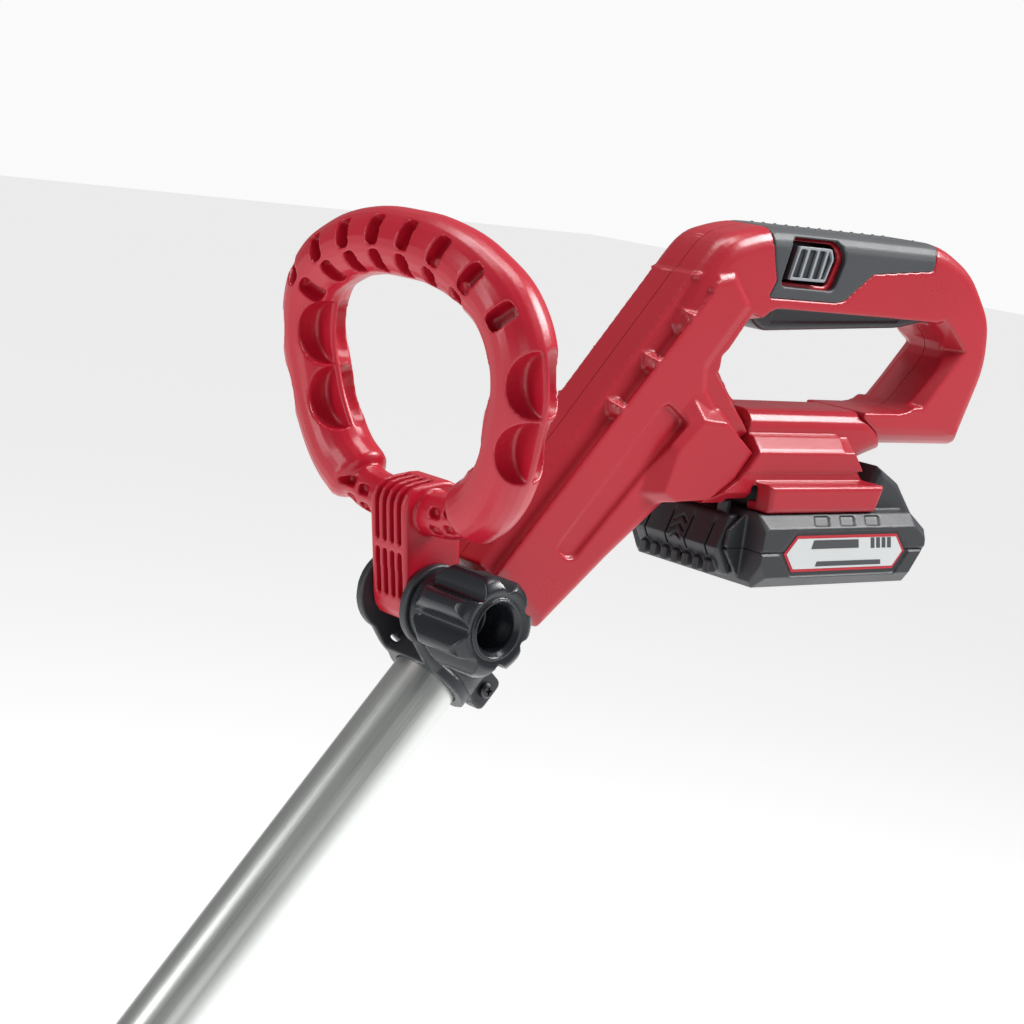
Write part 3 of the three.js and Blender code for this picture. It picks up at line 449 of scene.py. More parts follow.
# ---- loop handle, drawn in its own plane and leaned forward: X is its depth, Y across, Z up its height
loop = {
    "lean": math.radians(10),
    "rim": [(34, 40), (42, 46), (50, 58), (56, 74), (59, 94), (53, 112), (38, 123), (19, 129)],
    "top": 130.2,
    "radius": 12.2,
    "arm": [(0, 34.5), (14, 34.5), (28, 37), (38, 43)],
    "armRadius": 8.3,
    "webThickness": 2.6,
    # the pockets: across, height and slope in degrees
    "pockets": [(71.5, 92, 4), (66, 67.5, 15), (45.5, 91.5, 4), (40, 68.5, 15)],
    "pocketSize": (13, 10.4, 12.1),
    "pocketDepth": 4.4,
    # the rows of slots: how many, degrees apart, tilt up or down, half length
    "slotRows": [(8, 13.6, 31, 5.6), (7, 12.9, -31, 5.0)],
    "arch": (61, 69.2),  # height of the arch's centre and radius of the rod's line there
}


def loopRim():
    half = loop["rim"]
    path = [(1, across, height) for across, height in half] + [(1, 0, loop["top"])]
    path += [(1, -across, height) for across, height in reversed(half)]
    return pipe(path, loop["radius"], sides=10, fineness=10)


def loopPockets():
    # egg-shaped scoops in front of and behind the middle web
    scoops = []
    halfWeb = loop["webThickness"] / 2
    for side in (-1, 1):
        for across, height, slope in loop["pockets"]:
            for front in (-1, 1):
                scoop = ball((front * loop["pocketDepth"], 0, 0), loop["pocketSize"])
                bmesh.ops.bisect_plane(scoop, geom=scoop.verts[:] + scoop.edges[:] + scoop.faces[:],
                                       plane_co=(front * halfWeb, 0, 0), plane_no=(-front, 0, 0),
                                       clear_outer=True)
                bmesh.ops.holes_fill(scoop, edges=scoop.edges)
                turn = Matrix.Rotation(math.radians(-side * slope), 4, "X")
                scoops.append(moved(scoop, turn, Matrix.Translation((1, side * across, height))))
    return scoops


def loopSlots():
    # two rows of slots round the front of the arch, one above and one below the middle of the rod
    slots = []
    archHeight, archRadius = loop["arch"]
    for count, step, tilt, halfLength in loop["slotRows"]:
        for index in range(count):
            degrees = (index - 3.5) * step - 0.4
            turn = math.radians(degrees)
            radius = archRadius + 4 * (degrees / 48) ** 2
            slot = block((-20, -3.4, -halfLength), (-5, 3.4, halfLength), 2, 3)
            slots.append(moved(slot, Matrix.Rotation(math.radians(tilt), 4, "Y"),
                               Matrix.Translation((1, 0, radius)), Matrix.Rotation(turn, 4, "X"),
                               Matrix.Translation((0, 0, archHeight))))
    return slots


def loopStem():
    # the stem, its wrapped fins and the small windows in the arms beside it
    stem = slab([(-12, 45, 9), (15, 45, 9), (14, -8, 10), (-11, -8, 10)], 10.2, 1.4)
    cuts = []
    for y in (-6.3, -2.1, 2.1, 6.3):
        overTop = [(-20, 23.5), (-8, 23.5, 2), (-8, 38, 5), (4, 40, 2), (4, 60), (-20, 60)]
        cuts.append(slab(overTop, 1.25, 0, y))
        cuts.append(block((-20, y - 1.25, 3), (-7.5, y + 1.25, 20.5)))
    for side in (-1, 1):
        for across in (20.5, 28.5):
            for height in (31, 37.5):
                centre = (0, side * across, height + (across - 20) * 0.22)
                cuts.append(moved(block((-20, -3, -1.7), (-3.5, 3, 1.7), 0.8), Matrix.Translation(centre)))
    return stem, cuts


def buildLoopHandle():
    arms = [pipe([(1, side * across, height) for across, height in loop["arm"]], loop["armRadius"])
            for side in (-1, 1)]
    ends = [moved(ball((0, 0, 0), (loop["radius"], 6, loop["radius"])),
                  Matrix.Rotation(math.radians(side * 37), 4, "X"),
                  Matrix.Translation((1, side * 34, 40))) for side in (-1, 1)]
    stem, stemCuts = loopStem()
    boltHole = pinLeft(4, -30, 30)
    handle = carve("loopHandle", [loopRim(), *ends, *arms, stem],
                   [*loopPockets(), *loopSlots(), *stemCuts, boltHole], voxel=0.6, passes=3, thin=0.4)
    handle.data.transform(Matrix.Rotation(-loop["lean"], 4, "Y"))
    fit(handle, toolPlace, "loopRed", "front_handle", "loop_handle", angle=60)


buildLoopHandle()
print("loop handle made")

# ---- rear housing: one shell with its grip, split at the middle
housing = {
    "halfWidth": 18,
    "wall": 3.0,
    "shoulderHalfWidth": 22,
    "gripHalfWidth": 16.5,
    "ribs": (106, 130, 154),  # along the tube
    "body": [
        alongTube(24, -5.5), alongTube(90, -4.5), (110, 127.5), (128, 131), (141, 117), (121, 92), (122, 84),
        (135, 71), (150, 60), (129, 41), alongTube(103, -59), alongTube(64, -51), alongTube(24, -44.5),
    ],
    "cavity": [
        alongTube(27, -12), alongTube(92, -11), (108, 122), (118, 122), (116, 92), (117, 82), (136, 60),
        (126, 45), alongTube(103, -55.5), alongTube(64, -47.5), alongTube(27, -42.6),
    ],
    "shoulder": [(101, 43), (106, 60), (118, 72), (131, 71), (150, 58), (150, 40), (128, 40), (109, 39.5)],
    "shoulderFoot": [(84, 42), (91, 68), (111, 86), (130, 77), (150, 61), (150, 40), (128, 40), (95, 38)],
    "grip": [
        (100, 108), (112, 129, 8), (124, 143, 7), (146, 149, 10), (258, 149, 10), (282, 139, 9),
        (300, 119, 8),
        (303, 98, 10), (289, 62, 2), (128, 62), (110, 80),
    ],
    "fingers": [(151, 76, 7), (252, 76, 8), (279, 104, 11), (262, 116, 8), (152, 117, 7), (134, 95, 7)],
    "gripCavity": [
        (112, 116), (114, 126, 4), (128, 137.5, 6), (146, 144), (256, 144), (261, 138), (261, 120.5),
        (156, 120.5), (146, 116), (124, 102),
    ],
    "window": [(161.5, 144, 2), (187.5, 144, 2), (191, 139, 2), (186, 127, 2), (157, 127.6, 2)],
    "cover": [
        (148.5, 152), (148, 143), (150, 136), (153, 128), (149.5, 121), (191, 121), (196, 122), (212, 134),
        (251, 137.5), (252, 144), (259, 152),
    ],
    "coverThickness": 2.4,
    "screws": [("front", 88, 24.5), ("top", 136, 138), ("rear", 289, 108), ("bar", 262, 68.5)],
    "base": [
        (152, 82), (150.7, 73), (148.7, 59.5), (140, 48.5), (129, 41.5), (118, 34), (118, 10), (262, 10),
        (262, 60.8), (236.5, 61.3), (230, 68), (221, 73.5), (221, 82),
    ],
}
throughAll = 60


def tubeSection(section, start, end, side):
    # a section of (across, above) corners, run along the tube on one side of the tool
    bm = bmesh.new()
    corners = []
    for across, above in section:
        x, z = alongTube(start, above)
        corners.append(bm.verts.new((x, side * across, z)))
    face = bm.faces.new(corners)
    grown = bmesh.ops.extrude_face_region(bm, geom=[face])["geom"]
    lifted = [part for part in grown if isinstance(part, bmesh.types.BMVert)]
    bmesh.ops.translate(bm, verts=lifted, vec=tubeWay * (end - start))
    bmesh.ops.recalc_face_normals(bm, faces=bm.faces)
    return bm


def gripCore(clearance):
    inset = housing["coverThickness"] + 0.3 - clearance
    corners = [(120, 100), (120, 149 - inset), (263, 149 - inset), (290, 130), (290, 100)]
    return slab(corners, housing["gripHalfWidth"] - inset, 6)


def gripSolid():
    return slab(housing["grip"], housing["gripHalfWidth"], 7.5, segments=4)


def fingerCuts():
    # the finger hole, and the long facet that leads into its front corner
    cuts = [slab(housing["fingers"], throughAll)]
    near = [(151.5, 74), (140, 86), (133.4, 94.5), (137, 102), (146, 110), (175, 104), (175, 78)]
    far = [(150, 60), (135.5, 72), (121.5, 85), (121.5, 93), (139, 117), (175, 112), (175, 60)]
    for side in (-1, 1):
        cuts.append(loft(near, side * 5.5, far, side * 23.5))
    # softened edges where the fingers close round the rear of the ring
    rearNear = [(238, 80), (254, 80), (277, 104), (261, 113), (238, 113)]
    rearFar = [(238, 80), (263, 78), (286, 104), (267, 120), (238, 113)]
    for side in (-1, 1):
        cuts.append(loft(rearNear, side * 9, rearFar, side * 21))
    return cuts


def grooveCuts():
    # the V groove between the spine and each side face, and the slope outside it; it narrows at its top
    deep = [(11, 20), (11.2, -5.2), (13.6, -13.2), (18.4, -9.8), (40, -12), (40, 20)]
    narrow = [(12.5, 20), (12.8, -3), (14.4, -9.6), (18.4, -9), (40, -12), (40, 20)]
    cuts = []
    for side in (-1, 1):
        cuts.append(tubeSection(deep, 10, 168, side))
        cuts.append(tubeSection(narrow, 167, 178, side))
    return cuts


def grooveRibs():
    # three pointed ribs that bridge the groove
    ribs = []
    for side in (-1, 1):
        for along in housing["ribs"]:
            foot = [alongTube(along - 4.2, -15), alongTube(along - 4.2, -8.6), alongTube(along, -5.6),
                    alongTube(along + 4.2, -8.6), alongTube(along + 4.2, -15)]
            tip = [alongTube(along - 2.2, -15), alongTube(along - 2.2, -11), alongTube(along, -8.8),
                   alongTube(along + 2.2, -11), alongTube(along + 2.2, -15)]
            ribs.append(loft(foot, side * 11, tip, side * 18))
    return ribs


def housingSolids():
    core = combine([slab(housing["body"], housing["halfWidth"], 4.5)], grooveCuts())
    outer = housing["shoulderHalfWidth"]
    flares = [loft(housing["shoulderFoot"], side * 15, housing["shoulder"], side * outer)
              for side in (-1, 1)]
    return [core, *flares, gripSolid(), *grooveRibs()]


def buildHousing():
    coverRoom = combine([slab(housing["cover"], throughAll)], [gripCore(0)])
    panels = []
    for side in (-1, 1):
        corners = ((49, -26), (124, -26), (126, -40), (51, -36))
        outline = [alongTube(along, above, 4) for along, above in corners]
        panels.append(slab(outline, 2, 0.3, side * (housing["halfWidth"] + 0.2)))
    # each half has its cavity, without opening the groove
    cavity = combine([slab(housing["cavity"], housing["halfWidth"] - housing["wall"], 3)],
                     [tubeSection([(7, 20), (8, -8), (11.5, -17), (30, -14), (30, 20)], 5, 180, side)
                      for side in (-1, 1)])
    tubeHole = moved(rod(13.3, 10, 116, 64), alongTubeTurn, Matrix.Translation(tubeFoot))
    screwX, screwZ = alongTube(29, -knobAboveTube)
    screwRoom = pinLeft(4.4, 18.9, 40, screwX, screwZ)
    cuts = [
        *fingerCuts(), *panels, cavity, coverRoom, tubeHole, screwRoom,
        slab(housing["base"], throughAll),
        slab(housing["gripCavity"], 11.6, 1.5),
        block((149.6, -8.5, 105), (264, 8.5, 126)),
        slab(housing["window"], throughAll),
    ]
    for name, x, z in housing["screws"]:
        cuts.append(pinRight(3.7, 8.2, 40, x, z))
    shell = carve("housing", housingSolids(), cuts, voxel=0.68, passes=4, thin=0.5)
    left, right = halves(shell, ("housingShellLeft", "housingShellRight"))
    fit(left, toolPlace, "housingRed", "root", "housing_left", angle=60)
    fit(right, toolPlace, "housingRed", "root", "housing_right", angle=60)


def buildGripCover():
    windowRoom = [(160, 145.6, 3), (189, 145.6, 3), (193, 139, 3), (188, 125.4, 3), (155, 126, 3)]
    cover = carve("coverSkin", [combine([gripSolid()], [slab(housing["cover"], throughAll)], "INTERSECT")],
                  [gripCore(0.3), slab(windowRoom, throughAll), *fingerCuts()], voxel=0.6, passes=2)
    skin = bmesh.new()
    skin.from_mesh(cover.data)
    bpy.data.objects.remove(cover)
    dots = []
    for side in (-1, 1):
        for row, (y, z) in enumerate(((8.2, 148.6), (12.2, 147.0))):
            for step in range(13):
                x = 160 + 7 * step + 3.5 * row
                if x < 250:
                    dots.append(ball((x, side * y, z), (1.0, 1.0, 0.8), 10))
    piece = makeObject("gripCover", gather(skin, *dots))
    fit(piece, toolPlace, "gripRubber", "root", "grip_cover", angle=60)


buildHousing()
buildGripCover()
print("housing made")


# ---- the red piece over the battery
base = {
    "bar": [(140, 75.8), (245, 75.8), (245, 62), (230, 57.5), (219, 54), (140, 52)],
    "barHalfWidth": 16.4,
    "block": [(118, 38.5), (118, 62), (151, 66), (204, 66), (213, 58), (221, 49), (217, 38.5)],
    "blockHalfWidth": 24,
    "skirt": [(150, 48), (221, 48), (217, 36.8), (150, 36.8)],
    "skirtHalfWidth": 33.5,
    "hollow": [(152, 49), (152, 60), (200, 60), (206, 54), (206, 49)],
}


def shrunk(points, amount):
    # the same outline drawn in by an even amount
    area = sum(a[0] * b[1] - b[0] * a[1] for a, b in zip(points, points[1:] + points[:1]))
    inwards = 1 if area > 0 else -1
    outline = []
    for index, point in enumerate(points):
        here = Vector(point[:2])
        before = (here - Vector(points[index - 1][:2])).normalized()
        after = (Vector(points[(index + 1) % len(points)][:2]) - here).normalized()
        normal = Vector((-before.y - after.y, before.x + after.x)) * inwards / 2
        outline.append((*(here + normal * amount / normal.length_squared), *point[2:]))
    return outline


def buildBase():
    ridge = [loft([(140, 69), (140, 60), (219, 60), (214, 69)], side * 10,
                  [(140, 60), (140, 52), (216, 52), (209, 60)], side * 24.6) for side in (-1, 1)]
    solids = [
        slab(base["bar"], base["barHalfWidth"], 7, segments=4),
        slab(base["block"], base["blockHalfWidth"], 5, segments=1),
        slab(base["skirt"], base["skirtHalfWidth"], 1.6, segments=2),
        *ridge,
    ]
    cuts = [
        slab(base["hollow"], 18),
        block((138, -21, 30), (240, 21, 40.9)), block((149, -25.5, 40.2), (240, 25.5, 46.5)),
        block((152, -10, 45), (206, 10, 50)),
    ]
    seams = slab(shrunk(housing["base"], 0.3), throughAll)
    whole = combine([combine(solids, cuts)], [seams], "INTERSECT")
    piece = carve("batteryBase", [whole], voxel=0.55, passes=3, thin=0.5)
    fit(piece, toolPlace, "housingRed", "root", "battery_base", angle=60)


buildBase()
print("battery base made")

# ---- battery, its latch and its label
battery = {
    "outline": [
        (147, 36.4), (137, 29), (136, 21), (148, 6.5), (244, 6.5), (254.5, 22), (253.5, 29), (242, 36.4),
    ],
    "inside": [
        (150, 34.2), (148.5, 29), (148.5, 12), (150, 8.7), (243, 8.7), (251.5, 22), (250.5, 29), (241, 34.2),
    ],
    "halfWidth": 37,
    "wall": 2.2,
    "split": 21.5,
    "recess": [(157, 21), (165.5, 30.5), (231, 30.5), (239.5, 21), (231.5, 11.2), (165, 11.2)],
    "recessDepth": 1.1,
    "hump": [(223, 30), (223, 47), (227, 54.5), (240, 48), (253.5, 34), (253, 28)],
    "humpRoom": [(226, 36), (228.5, 50.5), (238, 45), (248, 33), (226, 33)],
    "notches": (183, 199, 215),
}


def batteryCuts():
    halfWidth = battery["halfWidth"]
    cuts = [block((120, -24.2, 5), (144.6, 24.2, 44)),
            slab(battery["inside"], halfWidth - battery["wall"], 2, segments=1),
            slab(battery["humpRoom"], 22)]
    for side in (-1, 1):
        low, high = sorted((side * 26, side * 45))
        cuts.append(block((120, low, 0), (146, high, 50)))
        cuts.append(slab(battery["recess"], 1, 0, side * (halfWidth + 1 - battery["recessDepth"])))
        cuts.append(block((154, side * 6 - 1.1, 41.2), (168, side * 6 + 1.1, 46.5)))
        for x in battery["notches"]:
            slant = Matrix(((1, -side * 0.5, 0, 0), (0, 1, 0, 0), (0, 0, 1, 0), (0, 0, 0, 1)))
            notch = block((-5, -2.3, -0.9), (4, 2.3, 0.9))
            cuts.append(moved(notch, slant, Matrix.Rotation(math.radians(-side * 45), 4, "X"),
                              Matrix.Translation((x, side * 34.6, 34))))
        # the band of shallow steps low on the side
        for x in (172, 184, 196, 208, 220):
            cuts.append(block((x, side * 35.6 - 0.6, 6), (x + 7, side * 35.6 + 0.6, 8.2)))
    return cuts


def seamGroove():
    # the V cut that runs round the case where its two halves meet
    inner = shrunk(battery["outline"], 1)
    outer = shrunk(battery["outline"], -6)
    ring = combine([slab(outer, battery["halfWidth"] + 6)], [slab(inner, battery["halfWidth"] - 1)])
    middle = battery["split"]
    return combine([ring], [block((100, -60, middle - 0.7), (300, 60, middle + 0.7))], "INTERSECT")


def buildBattery():
    rails = [block((157, -20.5, 30), (223, 20.5, 42)), block((157, -25, 40.6), (223, 25, 46))]
    solids = [slab(battery["outline"], battery["halfWidth"], 5, segments=1), *rails,
              slab(battery["hump"], 26, 3.5, segments=2)]
    whole = combine(solids, [*batteryCuts(), seamGroove()])
    case = carve("batteryCase", [whole], voxel=0.5, passes=2, thin=0.45)
    made = []
    for sign, name, node in ((1, "batteryCaseUpper", "battery_case_upper"),
                             (-1, "batteryCaseLower", "battery_case_lower")):
        bm = bmesh.new()
        bm.from_mesh(case.data)
        low, high = sorted((battery["split"] + sign * 0.15, battery["split"] + sign * 200))
        made.append(carve(name, [bm], [block((0, -100, low), (400, 100, high))], operation="INTERSECT"))
        fit(made[-1], toolPlace, "batteryBlack", "battery", node, angle=60)
    bpy.data.objects.remove(case)


def buildLabel():
    # a plain plate: red border, silver field, a charge gauge and two bars
    surface = battery["halfWidth"] - battery["recessDepth"]
    border, plate, marks = [], [], []
    for side in (-1, 1):
        y = side * (surface + 0.15)
        border.append(slab(shrunk(battery["recess"], 2.2), 0.15, 0, y))
        plate.append(slab(shrunk(battery["recess"], 3.4), 0.12, 0, y + side * 0.25))
        flat = y + side * 0.42
        for index in range(4):
            x = 214 + 3.6 * index if side < 0 else 180 - 3.6 * index
            marks.append(slab([(x, 22.5), (x + 2.4, 22.5), (x + 1.2, 27), (x - 1.2, 27)], 0.05, 0, flat))
        marks.append(slab([(176, 22.8), (206, 22.8), (205, 26.4), (177, 26.4)] if side < 0 else
                          [(186, 22.8), (216, 22.8), (215, 26.4), (187, 26.4)], 0.05, 0, flat))
        marks.append(slab([(180, 15.5), (222, 15.5), (221.4, 17.5), (180.6, 17.5)], 0.05, 0, flat))
    fit(makeObject("labelBorder", gather(*border)), toolPlace, "labelRed", "battery")
    fit(makeObject("labelPlate", gather(*plate)), toolPlace, "labelSilver", "battery")
    fit(makeObject("labelMarks", gather(*marks)), toolPlace, "labelDark", "battery")


def buildLatch():
    outline = [(144, 34.5), (139, 34.5, 2), (133.5, 21), (134.5, 19), (141, 9.5, 1.5), (144, 9.5)]
    face = slab(outline, 23.6, 1.5)
    hooks = [block((140.5, side * 16.5 - 2.5, 30), (143.8, side * 16.5 + 2.5, 39.6), 0.6) for side in (-1, 1)]
    ribs = [block((134.6, y - 1.7, 9.6), (140, y + 1.7, 15.5), 0.8) for y in (-18, -12, -6, 0, 6, 12, 18)]
    grooves = [block((130, y - 0.5, 16.8), (138.3, y + 0.5, 36)) for y in (-17, -5.4, 5.4, 17)]
    grooves.append(block((130, -24, 15.8), (135.6, 24, 16.8)))
    arrows = []
    for z in (22.5, 26, 29.5):
        for side in (-1, 1):
            bar = block((-3, -0.5, -0.5), (0.75, 4.6, 0.5))
            turn = Matrix.Rotation(math.radians(-38), 4, "X")
            if side < 0:
                bmesh.ops.scale(bar, vec=(1, -1, 1), verts=bar.verts)
                bmesh.ops.recalc_face_normals(bar, faces=bar.faces)
                turn = Matrix.Rotation(math.radians(38), 4, "X")
            arrows.append(moved(bar, turn, Matrix.Rotation(math.radians(22), 4, "Y"),
                                Matrix.Translation((133.9 + (z - 21) * 0.38, 0, z))))
    springRoom = moved(rod(3.4, 13, 26, 16), Matrix.Translation((140.5, 0, 0)))
    latch = carve("batteryLatch", [face, *hooks, *ribs], [*grooves, *arrows, springRoom],
                  voxel=0.35, passes=2, thin=0.4)
    fit(latch, toolPlace, "batteryBlack", "battery_release", "battery_latch", angle=60)


buildBattery()
buildLabel()
buildLatch()
print("battery made")

# ---- trigger, lock-off and screws
controls = {
    "paddle": [
        (151.5, 119, 2), (151.5, 111, 3), (158, 106.5, 4), (245, 111.5, 4), (262, 115, 2), (262, 123),
        (250, 124.5, 2), (243, 118.7), (165, 118.7), (163, 121.5), (157, 121.5),
    ],
    "paddleHalfWidth": 8,
    "paddlePin": (255, 120),
    "plate": [(162.5, 142.5, 1), (182, 142.5, 1), (184, 138.5, 1), (180.5, 128.8, 1), (158.8, 128.8, 1)],
    "plateY": 14.7,
}


def buildTrigger():
    x, z = controls["paddlePin"]
    cuts = [pinLeft(2.4, -20, 20, x, z)]
    # the flat panel on each cheek stands back from its rim
    for side in (-1, 1):
        cuts.append(slab([(163, 116.6, 1), (244, 116.6, 1), (243, 114, 1), (162, 110, 1)], 0.5, 0,
                         side * controls["paddleHalfWidth"]))
    paddle = carve("triggerPaddle", [slab(controls["paddle"], controls["paddleHalfWidth"], 1.8)], cuts,
                   voxel=0.4, passes=3, thin=0.3)
    fit(paddle, toolPlace, "triggerBlack", "trigger_lever", "trigger", angle=60)


def buildLockOff():
    # a thin middle wall closes the view from one window through to the other
    wall = combine([block((158, -1, 129.6), (188, 1, 143.4))], [block((176, -3, 131.4), (190, 3, 137.6))])
    plates, frames = [block((166, -14, 130.5), (176, 14, 138.5), 0.6), wall], []
    for side in (-1, 1):
        y = side * controls["plateY"]
        plates.append(slab(controls["plate"], 1.6, 0.5, y))
        rim = combine([slab(controls["plate"], 0.7, 0, y + side * 2.0)],
                      [slab(shrunk(controls["plate"], 1.1), 3, 0, y + side * 2.0)])
        bars = []
        for x in (167.5, 173.5, 179):
            slanted = [(x, 141.8), (x + 1.5, 141.8), (x - 1.4, 129.4), (x - 2.9, 129.4)]
            bars.append(slab(slanted, 0.7, 0, y + side * 2.0))
        frames.append(combine([rim, *bars], []))
    plate = carve("lockOffPlate", plates, voxel=0.35, passes=2, thin=0.3)
    fit(plate, toolPlace, "mouldedBlack", "lock_off", "lock_off_slider", angle=60)
    trim = carve("lockOffFrame", frames, voxel=0.22, passes=2, thin=0.4)
    fit(trim, toolPlace, "buttonGrey", "lock_off", angle=60)


def crossScrew(head, headHeight, shank, tip):
    # a pan head over Z = 0 with a cross cut in it, and its shank below
    profile = [(0, tip), (shank * 0.5, tip), (shank, tip + 1.2), (shank, 0), (head, 0),
               (head, headHeight * 0.55), (head * 0.72, headHeight), (0, headHeight)]
    half = head * 0.5
    cuts = [block((-half, -0.42, headHeight - 1.1), (half, 0.42, headHeight + 1)),
            block((-0.42, -half, headHeight - 1.1), (0.42, half, headHeight + 1))]
    return combine([turned(profile, 32)], cuts)


def buildScrews():
    for name, x, z in housing["screws"]:
        screw = moved(crossScrew(3.3, 2.2, 1.6, -17.5), rightWards, Matrix.Translation((x, 8.5, z)))
        fit(makeObject(name + "Screw", screw), toolPlace, "brightSteel", "root",
            "housing_screw_" + name)
    x, z = alongTube(29, -knobAboveTube)
    screw = moved(crossScrew(3.4, 2.4, 2, -34), leftWards, Matrix.Translation((x, -15.2, z)))
    fit(makeObject("tubeScrew", screw), toolPlace, "blackSteel", "root", "tube_screw")


buildTrigger()
buildLockOff()
buildScrews()
print("controls made")

# ---- knob, bracket, tubes and twist lock
knob = {"radius": 19, "lobes": 7, "valley": 5.6, "back": 18.5, "face": 48, "hole": 8.6, "holeDepth": 17}
bracket = {"low": -17, "high": 19, "radius": 17.2, "earRadius": 15.5, "earInner": 10.8, "earOuter": 14.4}
bolt = {"radius": 3.6, "headRadius": 8.4, "headHeight": 6}
lock = {"collarLow": -388, "collarHigh": -345, "sleeveLow": -424, "radius": 18.5}


def tubeRod(radius, low, high, steps=48):
    return moved(rod(radius, low, high, steps), alongTubeTurn, Matrix.Translation(tubeFoot))


def buildKnob():
    steps = knob["lobes"] * 16
    lobes = []
    for index in range(steps):
        angle = 2 * math.pi * index / steps
        radius = knob["radius"] - knob["valley"] * (0.5 - 0.5 * math.cos(knob["lobes"] * angle)) ** 1.25
        lobes.append((radius * math.cos(angle), radius * math.sin(angle)))
    middle = (knob["face"] + knob["back"]) / 2
    grip = slab(lobes, (knob["face"] - knob["back"]) / 2, 0, -middle)
    # the turned form trims the lobes to a waisted back and a domed, dished face
    dome = moved(turned([(0, knob["back"]), (15.2, knob["back"]), (19.2, knob["back"] + 7), (19.2, 42),
                         (17.6, 46, 2), (14.5, 48, 1), (11.2, 47), (0, 46.6)], 96), leftWards)
    ring = moved(sleeve(knob["hole"], 11, 40, knob["face"] + 0.3, 96), leftWards)
    collar = moved(rod(14, bracket["earOuter"] + 0.3, knob["back"] + 2, 64), leftWards)
    cuts = [moved(rod(knob["hole"], knob["face"] - knob["holeDepth"], knob["face"] + 3, 64), leftWards),
            moved(turned([(0, 45.8), (knob["hole"], 45.8), (knob["hole"] + 3, 50), (0, 50)], 64), leftWards),
            pinLeft(bolt["radius"] + 0.3, 0, knob["face"])]
    body = combine([grip], [dome], "INTERSECT")
    piece = carve("clampKnob", [body, ring, collar], cuts, voxel=0.4, passes=4, thin=0.35)
    fit(piece, toolPlace, "knobBlack", "clamp_knob", "knob", angle=60)
    head = turned([(0, 0), (bolt["headRadius"], 0), (bolt["headRadius"], 4.6), (7, bolt["headHeight"]),
                   (0, bolt["headHeight"])], 6)
    washer = rod(9, 0, 1.2, 48)
    shank = rod(bolt["radius"], -48.4, 0.4)
    steel = carve("loopBolt", [shank, washer, head])
    steel.data.transform(rightWards)
    steel.data.transform(Matrix.Translation((0, bracket["earOuter"] + 0.3, 0)))
    fit(steel, toolPlace, "brightSteel", "root", "loop_bolt", angle=25)


def buildBracket():
    low, high = bracket["low"], bracket["high"]
    saddle = slab([alongTube(low, -20), alongTube(low, -12, 3), alongTube(-13, 6, 4), alongTube(13, 6, 4),
                   alongTube(high, -12, 3), alongTube(high, -20)], bracket["earOuter"], 1.5)
    ears = moved(rod(bracket["earRadius"], -bracket["earOuter"], bracket["earOuter"], 64), leftWards)
    lugs = slab([alongTube(-12, -42), alongTube(-12, -54, 3), alongTube(2, -54, 3), alongTube(2, -42)],
                8.5, 1)
    between = slab([alongTube(-40, -14.3), alongTube(-40, 40), alongTube(40, 40), alongTube(40, -14.3)],
                   bracket["earInner"])
    slit = slab([alongTube(-40, -35), alongTube(-40, -70), alongTube(40, -70), alongTube(40, -35)], 1.5)
    x, z = alongTube(-5, -48.5)
    grooves = [moved(sleeve(bracket["radius"] - 0.8, bracket["radius"] + 3, s, s + 1.6), alongTubeTurn,
                     Matrix.Translation(tubeFoot)) for s in (low + 4, high - 6)]
    piece = carve("loopBracket", [tubeRod(bracket["radius"], low, high, 96), saddle, ears, lugs],
                  [between, slit, *grooves, tubeRod(13.3, -60, 60, 96),
                   pinLeft(bolt["radius"] + 0.3, -20, 20),
                   pinLeft(1.9, -20, 20, x, z)],
                  voxel=0.5, passes=3, thin=0.4)
    fit(piece, toolPlace, "mouldedBlack", "root", "loop_bracket", angle=60)
    screw = moved(crossScrew(3, 2.2, 1.6, -17), leftWards, Matrix.Translation((x, -8.8, z)))
    fit(makeObject("bracketScrew", screw), toolPlace, "blackSteel", "root",
        "bracket_screw")


def buildTubes():
    x, z = alongTube(29, -knobAboveTube)
    hole = pinLeft(2.3, -20, 20, x, z)
    outer = turned([(11.9, -399.4), (12.2, -400), (12.7, -400), (13, -399.4), (13, 115), (11.9, 115)], 128,
                   closed=True)
    moved(outer, alongTubeTurn, Matrix.Translation(tubeFoot))
    fit(carve("upperTube", [outer], [hole]), toolPlace, "tubeAluminium", "root",
        "upper_tube")
    inner = turned([(10.4, -652), (11.4, -652), (11.4, -190.4), (11.1, -190), (10.7, -190),
                    (10.4, -190.4)], 128, closed=True)
    fit(makeObject("lowerTube", inner), tubePlace, "tubeAluminium", "shaft",
        "lower_tube")


def buildTwistLock():
    radius, low, high = lock["radius"], lock["collarLow"], lock["collarHigh"]
    collar = turned([(13.3, low), (radius - 1, low), (radius - 1, high - 22), (radius - 2, high - 21),
                     (radius - 2, high - 19), (radius - 1, high - 18), (radius - 1, high - 7, 2),
                     (radius - 3, high, 1.5), (13.3, high)], 96, closed=True)
    ribs = spokes(18, (radius - 2.5, -1, low + 3), (radius - 0.3, 1, high - 25), 0.4)
    fit(carve("lockCollar", [collar, *ribs]), tubePlace, "mouldedBlack", "root", "lock_collar")
    start = lock["sleeveLow"]
    shell = turned([(11.7, start), (radius - 3.5, start, 1), (radius, start + 4, 1.5), (radius, low - 0.3, 1),
                    (13.3, low - 0.3), (13.3, -400.3), (11.7, -400.3)], 96, closed=True)
    grooves = [moved(rod(2.2, start + 6, low - 4, 16), Matrix.Translation((radius + 1.0, 0, 0)),
                     Matrix.Rotation(2 * math.pi * index / 14, 4, "Z")) for index in range(14)]
    piece = carve("lockSleeve", [shell], grooves, voxel=0.5, passes=2, thin=0.5)
    fit(piece, tubePlace, "headRed", "twist_sleeve", "lock_sleeve", angle=60)


